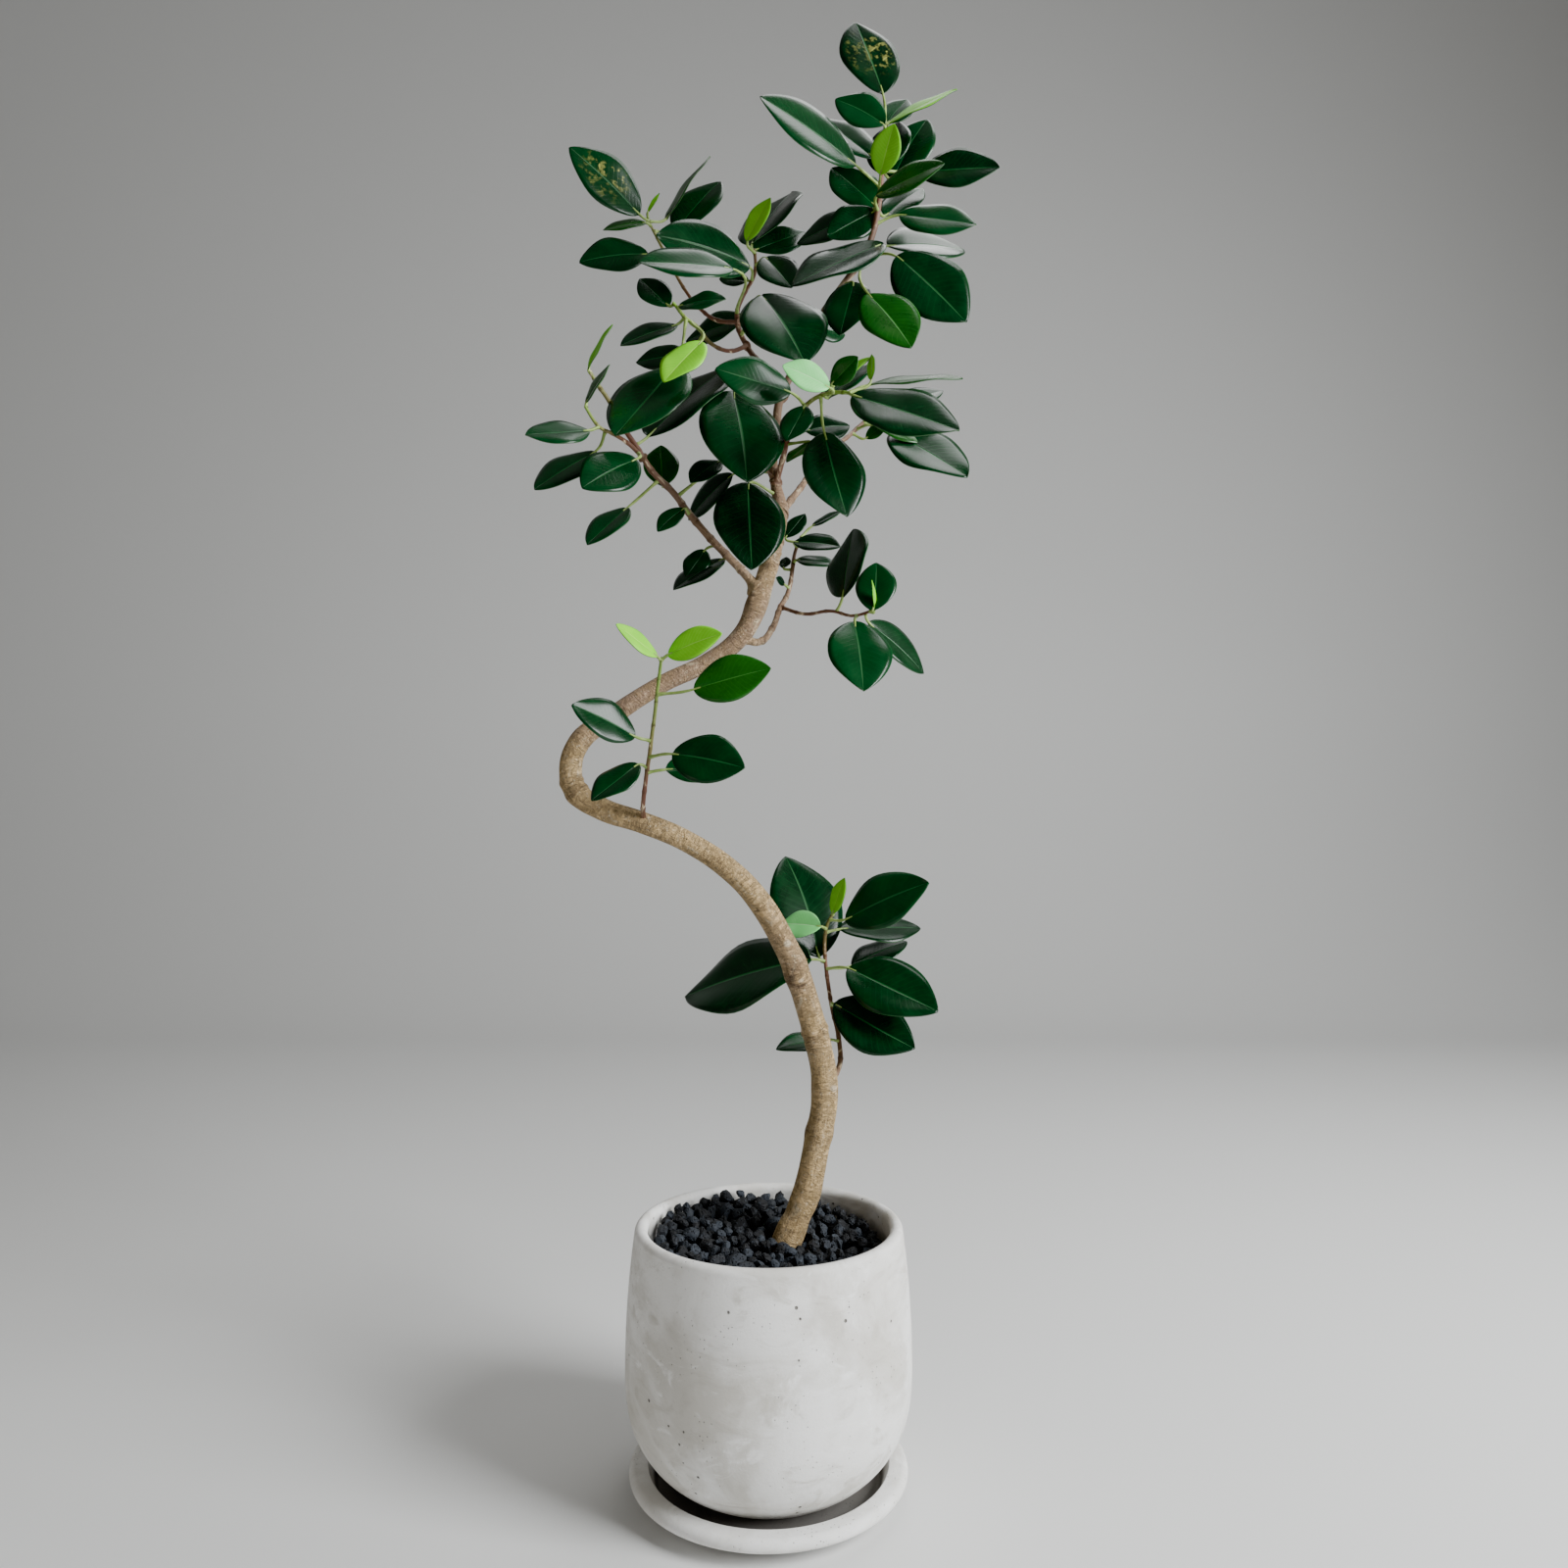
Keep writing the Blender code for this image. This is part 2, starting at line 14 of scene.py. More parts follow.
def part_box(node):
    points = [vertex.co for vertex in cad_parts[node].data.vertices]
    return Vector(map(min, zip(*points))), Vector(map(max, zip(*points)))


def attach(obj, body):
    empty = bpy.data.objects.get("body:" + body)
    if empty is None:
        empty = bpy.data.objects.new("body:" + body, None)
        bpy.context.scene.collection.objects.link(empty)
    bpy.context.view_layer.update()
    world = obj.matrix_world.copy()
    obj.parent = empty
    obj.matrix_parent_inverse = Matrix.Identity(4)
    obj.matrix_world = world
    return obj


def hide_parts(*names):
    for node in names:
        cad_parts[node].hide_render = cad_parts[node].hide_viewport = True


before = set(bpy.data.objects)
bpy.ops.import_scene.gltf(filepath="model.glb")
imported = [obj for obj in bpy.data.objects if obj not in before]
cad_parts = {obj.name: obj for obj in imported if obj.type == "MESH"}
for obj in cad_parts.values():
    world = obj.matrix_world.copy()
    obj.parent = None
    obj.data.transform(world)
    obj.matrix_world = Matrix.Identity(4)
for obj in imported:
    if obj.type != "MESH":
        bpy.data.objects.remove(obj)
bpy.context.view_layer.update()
MM = 0.001


# The saucer: a thick dish of the same pale cast clay as the pot. It was cast in a mould, so its rim is
# broad and flat with a rounded outer edge, and air bubbles left pinholes in its surface.


class Finish:
    """A socket of a material. Arithmetic on it adds Math nodes, and add() adds any other node."""

    def __init__(self, tree, socket=None):
        self.tree, self.socket = tree, socket

    def add(self, kind, settings=None, inputs=None, out=0):
        node = self.tree.nodes.new("ShaderNode" + kind)
        settings = dict(settings or {})
        stops = settings.pop("stops", None)
        for name, value in settings.items():
            setattr(node, name, value)
        if stops:
            while len(node.color_ramp.elements) < len(stops):
                node.color_ramp.elements.new(1)
            for element, (place, colour) in zip(node.color_ramp.elements, stops):
                element.position, element.color = place, (*colour, 1)
        for name, value in (inputs or {}).items():
            if isinstance(value, Finish):
                self.tree.links.new(value.socket, node.inputs[name])
            else:
                node.inputs[name].default_value = value
        return Finish(self.tree, node.outputs[out])

    def maths(self, operation, *values):
        return self.add("Math", {"operation": operation}, dict(enumerate(values)))

    def __add__(self, other):
        return self.maths("ADD", self, other)

    def __sub__(self, other):
        return self.maths("SUBTRACT", self, other)

    def __mul__(self, other):
        return self.maths("MULTIPLY", self, other)

    def __truediv__(self, other):
        return self.maths("DIVIDE", self, other)

    def __radd__(self, other):
        return self.maths("ADD", other, self)

    def __rsub__(self, other):
        return self.maths("SUBTRACT", other, self)

    def __rmul__(self, other):
        return self.maths("MULTIPLY", other, self)

    def __neg__(self):
        return self.maths("MULTIPLY", self, -1)

    def size(self):
        return self.maths("ABSOLUTE", self)

    def sine(self):
        return self.maths("SINE", self)

    def rise(self, low, high):
        """0 below low and 1 above high, with a smooth step between."""
        limits = {"Value": self, "From Min": low, "From Max": high}
        return self.add("MapRange", {"interpolation_type": "SMOOTHSTEP"}, limits)

    def mix(self, without, fully):
        """A colour between two, each a socket or three numbers, by this value."""
        without, fully = ((*end, 1) if isinstance(end, tuple) else end for end in (without, fully))
        return self.add("Mix", {"data_type": "RGBA"}, {0: self, 6: without, 7: fully}, out=2)

    def stretched(self, x, y, z):
        return self.add("VectorMath", {"operation": "MULTIPLY"}, {0: self, 1: (x, y, z)})

    def cloud(self, scale, detail=4, roughness=0.5, distortion=0.0):
        levels = {"Vector": self, "Scale": scale, "Detail": detail, "Roughness": roughness}
        return self.add("TexNoise", None, {**levels, "Distortion": distortion})

    def cells(self, scale, feature="F1", out="Distance"):
        return self.add("TexVoronoi", {"feature": feature}, {"Vector": self, "Scale": scale}, out)

    def red(self):
        return self.add("SeparateColor", None, {0: self}, out=0)

    def green(self):
        return self.add("SeparateColor", None, {0: self}, out=1)

    def part(self, axis):
        return self.add("SeparateXYZ", None, {0: self}, out="XYZ".index(axis))


def new_finish(name):
    """A material with its Principled shader, and the socket wrapper that builds its nodes."""
    made = bpy.data.materials.new(name)
    made.use_nodes = True
    return made, made.node_tree.nodes["Principled BSDF"], Finish(made.node_tree)


def feed(shader, name, value):
    value.tree.links.new(value.socket, shader.inputs[name])


def relief(height, depth):
    """A bump of so many metres from a value between 0 and 1."""
    return height.add("Bump", None, {"Height": height, "Distance": depth, "Strength": 1.0}, out="Normal")


def cast_clay(name, blotch, holes_per_metre, well_shade_height=0.0, well_shade_radius=0.0):
    """Matt clay with wiped clouds, pinholes darkened by painted shade and, in a round well, painted shade on
    the floor.
    """
    made, shader, maker = new_finish(name)
    place = maker.add("TexCoord", out="Object")
    drift = place.cloud(13, 5, 0.6, 0.8)
    wiped = place.stretched(1, 1, 1.8).cloud(26, 7, 0.62, 1.6)
    grain = place.cloud(700, 4, 0.65)
    clusters = place.cloud(34, 1, 0.5).rise(0.46, 0.60)
    base = drift.rise(0.38, 0.62).mix((0.56, 0.535, 0.48), (0.84, 0.835, 0.815))
    base = (wiped.rise(0.50, 0.72) * blotch).mix(base, (0.45, 0.42, 0.36))
    base = (wiped.rise(0.30, 0.44) * blotch).mix((0.88, 0.875, 0.86), base)
    base = (grain.rise(0.58, 0.74) * 0.25).mix(base, (0.40, 0.375, 0.335))
    cell, cell_tone = place.cells(holes_per_metre), place.cells(holes_per_metre, out="Color")
    hole = 1 - (cell / (0.050 + cell_tone.green() * 0.085)).rise(0.6, 1.0)
    hole = hole * cell_tone.red().rise(0.62, 0.64)
    pit_cell, pit_tone = place.cells(holes_per_metre * 4), place.cells(holes_per_metre * 4, out="Color")
    pit = (1 - pit_cell.rise(0.11, 0.19)) * pit_tone.red().rise(0.66, 0.68) * clusters
    # Painted shade: the pinholes and the pits are darkened where their insides lie in shade.
    base = (hole * 0.85).mix(base, (0.08, 0.07, 0.055))
    base = (pit * 0.7).mix(base, (0.14, 0.12, 0.10))
    # Painted shade: the round well's floor and the foot of its wall, under the pot, are darkened to a
    # grey-brown.
    if well_shade_height:
        out = maker.add("VectorMath", {"operation": "LENGTH"}, {0: place.stretched(1, 1, 0)}, "Value")
        height = place.part("Z")
        well_shade = 1 - out.rise(well_shade_radius - 3 * MM, well_shade_radius + 1 * MM)
        well_shade = well_shade * (1 - height.rise(well_shade_height, well_shade_height + 5 * MM)) * height.rise(3 * MM, 4 * MM)
        base = (well_shade * (0.75 + 0.25 * drift)).mix(base, (0.100, 0.090, 0.080))
    feed(shader, "Base Color", base)
    feed(shader, "Roughness", 0.72 + grain * 0.2)
    shader.inputs["Specular IOR Level"].default_value = 0.3
    surface = grain * 0.12 + wiped * 0.30 + drift * 0.25 - hole * 0.9 - pit * 0.5
    feed(shader, "Normal", relief(surface, 1.1 * MM))
    return made


def deselect():
    if bpy.context.mode != "OBJECT":
        bpy.ops.object.mode_set(mode="OBJECT")
    bpy.ops.object.select_all(action="DESELECT")


def only(thing):
    deselect()
    thing.select_set(True)
    bpy.context.view_layer.objects.active = thing


def wear(thing, *finishes):
    thing.data.materials.clear()
    for finish in finishes:
        thing.data.materials.append(finish)


def settle(thing, slot, *nodes):
    """The finished piece rides with the plant and stands for its CAD nodes."""
    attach(thing, "root")
    if nodes:
        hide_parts(*nodes)


def thrown(name, outline, steps):
    """A round piece: a ring is extruded and resized through an outline of (radius, height) points."""
    deselect()
    (radius, height), *rest = outline
    bpy.ops.mesh.primitive_circle_add(vertices=steps, radius=radius, location=(0, 0, height))
    piece = bpy.context.object
    piece.name = piece.data.name = name
    bpy.ops.object.transform_apply(location=True)
    bpy.ops.object.mode_set(mode="EDIT")
    bpy.ops.mesh.select_all(action="SELECT")
    for next_radius, next_height in rest:
        lift = {"value": (0, 0, next_height - height)}
        bpy.ops.mesh.extrude_edges_move(TRANSFORM_OT_translate=lift)
        share = next_radius / radius
        bpy.ops.transform.resize(value=(share, share, 1), center_override=(0, 0, next_height))
        radius, height = next_radius, next_height
    bpy.ops.mesh.select_all(action="SELECT")
    bpy.ops.mesh.remove_doubles(threshold=1e-5)
    bpy.ops.mesh.normals_make_consistent(inside=False)
    deselect()
    return piece


def soften(piece, angle=40):
    only(piece)
    bpy.ops.object.shade_smooth_by_angle(angle=math.radians(angle))
    deselect()


def quarter(centre, radius, start, end, steps):
    """Points (radius, height) round a centre, from one angle in degrees to another."""
    for step in range(steps + 1):
        turn = math.radians(start + (end - start) * step / steps)
        yield centre[0] + radius * math.cos(turn), centre[1] + radius * math.sin(turn)


saucer_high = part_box("saucer")[1]
SAUCER_RADIUS = saucer_high.x
SAUCER_TOP = saucer_high.z
SAUCER_FLOOR = 6 * MM
SAUCER_RIM_INSIDE = SAUCER_RADIUS - 11.6 * MM
SAUCER_FOOT = 56 * MM
SAUCER_EDGE = 4 * MM

saucer_outline = [
    (0.01 * MM, SAUCER_FLOOR),
    (SAUCER_RIM_INSIDE - 7 * MM, SAUCER_FLOOR),
    *quarter((SAUCER_RIM_INSIDE - 6.6 * MM, SAUCER_FLOOR + 2 * MM), 2 * MM, -88, -14, 5),
    *quarter((SAUCER_RIM_INSIDE + 0.7 * MM, SAUCER_TOP - 0.7 * MM), 0.7 * MM, 165, 90, 3),
    *quarter((SAUCER_RADIUS - SAUCER_EDGE, SAUCER_TOP - SAUCER_EDGE), SAUCER_EDGE, 88, -50, 12),
    *quarter((SAUCER_FOOT + 1.6 * MM, 1.6 * MM), 1.6 * MM, -40, -90, 3),
    (0.01 * MM, 0),
]
saucer = thrown("saucer_dish", saucer_outline, 160)
soften(saucer)
wear(saucer, cast_clay("saucer_clay", 0.55, 120, SAUCER_FLOOR + 2 * MM, SAUCER_RIM_INSIDE - 1 * MM))
settle(saucer, "cast_clay", "saucer")


# The pot: a round-bellied planter cast in off-white clay, with a wall 8 mm thick, a lip rounded over on
# both sides and a drain hole in its floor. Its matt skin is cloudy where the slip dried unevenly.

pot_low, pot_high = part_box("pot")
POT_BOTTOM, POT_TOP = pot_low.z, pot_high.z
POT_HEIGHT = POT_TOP - POT_BOTTOM
POT_RIM, POT_BELLY, POT_BASE = 82 * MM, 87.5 * MM, 42 * MM
BELLY_HEIGHT = 73 * MM
WALL, FLOOR = 8 * MM, 11 * MM
DRAIN_RADIUS = 8 * MM
WALL_STEPS = 40


def bowl(height):
    """The pot's outer radius at a height above its base."""
    if height >= BELLY_HEIGHT:
        up = (height - BELLY_HEIGHT) / (POT_HEIGHT - BELLY_HEIGHT)
        return POT_BELLY - (POT_BELLY - POT_RIM) * up ** 2
    down = 1 - max(height, 0) / BELLY_HEIGHT
    return POT_BASE + (POT_BELLY - POT_BASE) * (1 - down ** 3) ** 0.79


def hollow(height):
    """The point of the inner wall, square in from the outside at a height above the base."""
    slope = (bowl(height + 0.1 * MM) - bowl(height)) / (0.1 * MM)
    long = math.hypot(1, slope)
    return bowl(height) - WALL / long, POT_BOTTOM + height + WALL * slope / long


lip_height = POT_HEIGHT - WALL / 2
wall_heights = [lip_height * (step / WALL_STEPS) ** 1.5 for step in range(WALL_STEPS + 1)]
outer_wall = [(bowl(height), POT_BOTTOM + height) for height in reversed(wall_heights)]
inner_wall = [hollow(height) for height in wall_heights[1:]]
inner_wall = [point for point in inner_wall if POT_BOTTOM + FLOOR + 3 * MM < point[1] < POT_TOP - WALL / 2]
lip_centre = (outer_wall[0][0] - WALL / 2, POT_BOTTOM + lip_height)
pot_outline = [
    (DRAIN_RADIUS, POT_BOTTOM + FLOOR),
    (inner_wall[0][0] - 5 * MM, POT_BOTTOM + FLOOR),
    (inner_wall[0][0] - 1.5 * MM, POT_BOTTOM + FLOOR + 1.2 * MM),
    *inner_wall,
    *quarter(lip_centre, WALL / 2, 178, 2, 14),
    *outer_wall[:-1],
    (POT_BASE + 1 * MM, POT_BOTTOM + 0.6 * MM),
    (POT_BASE - 2 * MM, POT_BOTTOM),
    (DRAIN_RADIUS + 1 * MM, POT_BOTTOM),
    (DRAIN_RADIUS, POT_BOTTOM + 1 * MM),
    (DRAIN_RADIUS, POT_BOTTOM + FLOOR),
]
pot = thrown("pot_bowl", pot_outline, 160)
for vert in pot.data.vertices:
    turn = math.atan2(vert.co.y, vert.co.x)
    wobble = math.sin(2 * turn + 0.7) * 0.25 + math.sin(5 * turn + 30 * vert.co.z) * 0.12
    vert.co.x *= 1 + wobble * 0.002
    vert.co.y *= 1 + wobble * 0.002
soften(pot)
wear(pot, cast_clay("pot_clay", 0.80, 110))
settle(pot, "cast_clay", "pot")


# The soil: dark potting mix that fills the pot below the gravel. It shows only through the drain hole,
# so the CAD solid stays and gets a crumbly, moist finish.

soil_mix, soil_shader, maker = new_finish("crumbly_soil")
place = maker.add("TexCoord", out="Object")
crumbs = place.cloud(260, 6, 0.7)
fibre = place.cloud(70, 3, 0.5)
soil_brown = crumbs.rise(0.35, 0.7).mix((0.018, 0.012, 0.008), (0.085, 0.055, 0.035))
soil_brown = (fibre.rise(0.6, 0.75) * 0.5).mix(soil_brown, (0.13, 0.09, 0.05))
feed(soil_shader, "Base Color", soil_brown)
feed(soil_shader, "Roughness", 0.85 + crumbs * 0.12)
feed(soil_shader, "Normal", relief(crumbs, 3 * MM))
wear(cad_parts["soil"], soil_mix)


# The top dressing: loose black lava stones, 6 to 15 mm across, poured on the soil and heaped a little
# towards the back left, where they reach the lip. Each stone is an angular, porous lump.

soil_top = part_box("soil")[1].z
GRAVEL_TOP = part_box("gravel")[1].z
BED_TOP = GRAVEL_TOP - 9 * MM
STONE_RADII = (3.2 * MM, 7.8 * MM)
TRUNK_FOOT = Vector((13 * MM, 3 * MM, 0))
TRUNK_CLEARANCE = 8.6 * MM
STONE_SHAPES, STONE_TRIES = 7, 13000

chance = random.Random(11)


def any_way():
    return Vector((chance.gauss(0, 1), chance.gauss(0, 1), chance.gauss(0, 1))).normalized()


def mark(thing, name, value):
    """Stores one number on every point of a mesh, for its finish to read."""
    attribute = thing.data.attributes.new(name, "FLOAT", "POINT")
    attribute.data.foreach_set("value", [value] * len(thing.data.vertices))


def rough_stone(name):
    """A lava lump: an icosphere with its corners pulled about and squashed faces."""
    deselect()
    bpy.ops.mesh.primitive_ico_sphere_add(subdivisions=2, radius=1)
    stone = bpy.context.object
    stone.name = stone.data.name = name
    cuts = [any_way() for _ in range(6)]
    for vert in stone.data.vertices:
        for cut in cuts:
            past = vert.co.dot(cut) - 0.72
            if past > 0:
                vert.co -= cut * past
        vert.co *= 1 + chance.uniform(-0.17, 0.17)
    bpy.ops.object.mode_set(mode="EDIT")
    bpy.ops.mesh.select_all(action="SELECT")
    bpy.ops.transform.resize(value=(1.12, 0.96, 0.82))
    deselect()
    return stone


def heap(x, y):
    """The height that the stones reach at a place."""
    back_left = (0.72 * y - 0.69 * x) / (70 * MM)
    return GRAVEL_TOP + 2.5 * MM + 10.5 * MM * max(0, min(1, 0.44 + 0.62 * back_left)) ** 1.2


shapes = [rough_stone(f"stone_{number}") for number in range(STONE_SHAPES)]
laid = np.empty((0, 4))
for _ in range(STONE_TRIES):
    reach = STONE_RADII[0] + (STONE_RADII[1] - STONE_RADII[0]) * chance.random() ** 1.3
    turn, out = chance.uniform(0, math.tau), (73.0 * MM - reach) * math.sqrt(chance.random())
    x, y = out * math.cos(turn), out * math.sin(turn)
    if math.hypot(x - TRUNK_FOOT.x, y - TRUNK_FOOT.y) < TRUNK_CLEARANCE + reach * 0.8:
        continue
    rest = BED_TOP + reach * 0.5
    if len(laid):
        touch = (laid[:, 3] + reach) * 0.86
        apart = np.hypot(laid[:, 0] - x, laid[:, 1] - y)
        near = apart < touch
        if near.any():
            rest = max(rest, float(np.max(laid[near, 2] + np.sqrt(touch[near] ** 2 - apart[near] ** 2))))
    if rest + reach * 0.8 < heap(x, y):
        laid = np.vstack([laid, (x, y, rest, reach)])

stones = []
for x, y, z, reach in laid:
    shape = chance.choice(shapes)
    stone = shape.copy()
    stone.data = shape.data.copy()
    bpy.context.scene.collection.objects.link(stone)
    spin = Quaternion(any_way(), chance.uniform(0, math.tau)).to_matrix().to_4x4()
    stone.data.transform(Matrix.Translation((x, y, z)) @ spin @ Matrix.Scale(reach, 4))
    mark(stone, "stone_tint", chance.random())
    stones.append(stone)
for shape in shapes:
    bpy.data.objects.remove(shape)
bed_radius = hollow(BED_TOP - POT_BOTTOM)[0] - 0.2 * MM
bed = thrown("gravel_bed", [
    (0.01 * MM, BED_TOP),
    *((bed_radius * step / 12, BED_TOP) for step in range(1, 13)),
    (bed_radius - 1 * MM, soil_top + 0.3 * MM),
    (0.01 * MM, soil_top + 0.3 * MM),
], 60)
for vert in bed.data.vertices:
    if vert.co.z > BED_TOP - 1 * MM:
        vert.co.z += chance.uniform(-0.6, 0.6) * MM
mark(bed, "stone_tint", 0.0)
only(bed)
for stone in stones:
    stone.select_set(True)
bpy.ops.object.join()
gravel = bpy.context.object
gravel.name = gravel.data.name = "lava_stones"
soften(gravel, 32)

lava, lava_shader, maker = new_finish("black_lava")
place = maker.add("TexCoord", out="Object")
stone_tint = maker.add("Attribute", {"attribute_name": "stone_tint"}, out="Fac")
pores = place.cells(620)
dust_and_sheen = place.cloud(420, 5, 0.65)
lava_black = stone_tint.rise(0.35, 1.0).mix((0.003, 0.0035, 0.005), (0.024, 0.030, 0.040))
# Pale bluish flecks: dust, and painted highlight standing in for the stones' bluish glints.
lava_black = (dust_and_sheen.rise(0.55, 0.72) * 0.6).mix(lava_black, (0.085, 0.100, 0.125))
# Painted shade: the pores are darkened to near black where their insides lie in shade.
lava_black = (1 - pores.rise(0.12, 0.34)).mix(lava_black, (0.004, 0.004, 0.005))
feed(lava_shader, "Base Color", lava_black)
feed(lava_shader, "Roughness", 0.62 + dust_and_sheen * 0.35)
feed(lava_shader, "Normal", relief(pores.rise(0.05, 0.5) * 0.7 + dust_and_sheen * 0.5, 1.2 * MM))
wear(gravel, lava)
settle(gravel, "lava_gravel", "gravel")


# The trunk and its leader: one stem that grew out to the left and was bent back, smooth and tan, with
# fine lengthwise cracks, healed collars where side shoots were cut, and a foot buried in the soil.

TRUNK_STEPS, TWIG_STEPS = 22, 12  # from one place of a route to the next
TRUNK_FACETS, TWIG_FACETS = 48, 14
TRUNK_GIRTH = 8  # its usual radius, in the units of the routes
MARK_RELIEF = 2.4
PLANT_SCALE = MM  # the routes are in millimetres, with heights above the gravel

# x, y and height, then the radius
TRUNK = (
    (13, 3, 4, 9.3), (22, 4, 27, 8.5), (30, 8, 56, 8.2), (35, 10, 86, 8.3), (32, 10, 116, 8.1),
    (23, 8, 147, 7.9), (11, 4, 180, 7.7), (-4, 0, 206, 7.3), (-24, -4, 229, 7.0), (-49, -8, 246, 6.6),
    (-79, -12, 259, 6.7), (-105, -14, 268, 7.0), (-120, -14, 278, 7.1), (-124, -12, 292, 7.1),
    (-119, -8, 309, 6.7), (-101, -4, 325, 6.0), (-69, 0, 347, 5.5), (-40, 2, 362, 5.6),
    (-19, 2, 378, 6.1), (-9, 0, 395, 6.6), (-3, 0, 416, 6.1), (3, 0, 438, 5.6), (7, 0, 459, 4.8),
    (4, 2, 477, 3.5), (2, 4, 494, 3.1), (4, 6, 514, 2.9), (7, 8, 538, 2.7), (17, 10, 560, 2.5),
    (34, 8, 593, 2.3), (49, 4, 613, 2.2), (61, 2, 629, 2.2), (68, 0, 646, 2.0), (71, 0, 662, 1.9),
    (73, 0, 679, 1.7), (74, 0, 699, 1.4), (76, 0, 718, 1.1),
)
LEADER_START = 459  # the height where the leader begins
BURIED_DEPTH = 55

# Marks on the trunk: height, the way they face, their length, how far they swell and how dark they are
TRUNK_MARKS = (
    (15, None, 5, -0.035, 0.25), (30, (1, -1), 7, 0.05, 0.1), (64, None, 5, 0.045, 0.35),
    (92, (-1, -1), 9, 0.05, 0.1), (121, (-0.3, -1), 7, 0.10, 0.55), (128, None, 2.2, 0.05, 0.3),
    (163, (-0.6, -1), 8, 0.13, 0.8), (171, (0.7, -0.7), 5, 0.07, 0.3), (205, (0.5, -1), 8, 0.06, 0.2),
    (236, (0, -1), 6, 0.07, 0.25), (258, (0, -1), 4, 0.06, 0.35), (277, None, 2.4, 0.05, 0.45),
    (284, None, 1.8, 0.04, 0.3), (312, (-0.5, -1), 5, 0.06, 0.3), (333, (0, -1), 7, 0.09, 0.55),
    (352, (0, -1), 4, 0.06, 0.3), (376, (0.3, -1), 8, 0.08, 0.3), (399, (-0.8, -1), 8, 0.12, 0.45),
    (424, (0.6, -1), 4, 0.08, 0.4), (440, None, 2, 0.06, 0.4), (462, (-0.8, -0.6), 5, 0.14, 0.5),
    (486, None, 2, 0.10, 0.4), (520, None, 2, 0.10, 0.4),
)
# Round scars of fallen leaves and twigs: height, the way they face and their size
ROUND_SCARS = (
    (92, (0.75, -1), 2.6), (128, (-0.2, -1), 2.4), (161, (0.1, -1), 3.4), (167, (-0.6, -1), 2.2),
    (158, (-0.9, -1), 1.8), (183, (0.3, -1), 2.6), (214, (0.7, -1), 2.0), (246, (-0.4, -1), 2.2),
    (281, (0.2, -1), 1.8), (312, (-0.6, -1), 2.2), (333, (0.5, -1), 2.6), (356, (-0.3, -1), 2.0),
    (388, (0.6, -1), 2.4), (404, (-0.7, -1), 2.2), (430, (0.5, -1), 1.8), (452, (-0.2, -1), 1.8),
)
# Age at a height: 1 is old bark, about 0.5 brown young wood, and 0 green
TRUNK_AGES = (
    (-60, 1.0), (135, 1.0), (158, 0.94), (186, 0.95), (210, 1.0), (300, 1.0), (325, 0.88), (385, 0.86),
    (420, 0.95), (470, 0.76), (540, 0.64), (640, 0.52), (690, 0.36), (718, 0.2),
)


def on_plant(x, y, height):
    return Vector((x * PLANT_SCALE, y * PLANT_SCALE, GRAVEL_TOP + height * PLANT_SCALE))


def rod(name, points, facets, steps):
    """A round stem: a Bezier path through (place, radius) points, given a bevel and made a mesh.

    It returns the object and the points of its rings, with so many steps from one place to the next.
    """
    deselect()
    bpy.ops.curve.primitive_bezier_curve_add()
    stem = bpy.context.object
    stem.name = name
    stem.data.bevel_depth = 1
    stem.data.bevel_resolution = facets // 2 - 2
    stem.data.resolution_u = steps
    knots = stem.data.splines[0].bezier_points
    knots.add(len(points) - 2)
    for knot, (place, radius) in zip(knots, points):
        knot.co, knot.radius = place, radius
        knot.handle_left_type = knot.handle_right_type = "AUTO"
    bpy.ops.object.convert(target="MESH")
    stem = bpy.context.object
    spots = np.empty(len(stem.data.vertices) * 3)
    stem.data.vertices.foreach_get("co", spots)
    rings = spots.reshape(-1, facets, 3)
    return stem, rings


def clothe(stem, rings, swell, age, scar_and_shade):
    """Moves each ring's points in or out and stores what the bark's pattern follows.

    swell, age and scar take the distances along the stem, and swell and scar the outward directions too.
    """
    facets = rings.shape[1]
    centres = rings.mean(axis=1)
    spokes = rings - centres[:, None, :]
    radii = np.linalg.norm(spokes, axis=2, keepdims=True)
    outward = spokes / np.maximum(radii, 1e-9)
    along = np.concatenate([[0], np.cumsum(np.linalg.norm(np.diff(centres, axis=0), axis=1))])
    grown = centres[:, None, :] + spokes * (1 + swell(along, centres, outward))[:, :, None]
    stem.data.vertices.foreach_set("co", grown.reshape(-1))
    turn = np.arange(facets) * math.tau / facets
    straight = np.stack([
        np.cos(turn)[None, :] * radii[:, :, 0],
        np.sin(turn)[None, :] * radii[:, :, 0],
        np.repeat(along[:, None], facets, axis=1),
    ], axis=2)
    for key, kind, channel, values in (
        ("bark_place", "FLOAT_VECTOR", "vector", straight),
        ("age", "FLOAT", "value", np.repeat(age(along, centres)[:, None], facets, axis=1)),
        ("scar_and_shade", "FLOAT", "value", scar_and_shade(along, centres, outward)),
    ):
        attribute = stem.data.attributes.new(key, kind, "POINT")
        attribute.data.foreach_set(channel, np.ascontiguousarray(values, dtype=np.float32).reshape(-1))
    only(stem)
    bpy.ops.object.mode_set(mode="EDIT")
    bpy.ops.mesh.select_all(action="SELECT")
    bpy.ops.mesh.fill_holes(sides=0)
    bpy.ops.mesh.normals_make_consistent(inside=False)
    deselect()
    return [(Vector(centre), float(radius)) for centre, radius in zip(centres, radii.mean(axis=(1, 2)))]


def facing(outward, way, power=1.5):
    """How much each outward direction looks a way in plan: 1 towards it and 0 from side on."""
    if way is None:
        return np.ones(outward.shape[:2])
    x, y = way
    return np.clip((outward[:, :, 0] * x + outward[:, :, 1] * y) / math.hypot(x, y), 0, 1) ** power


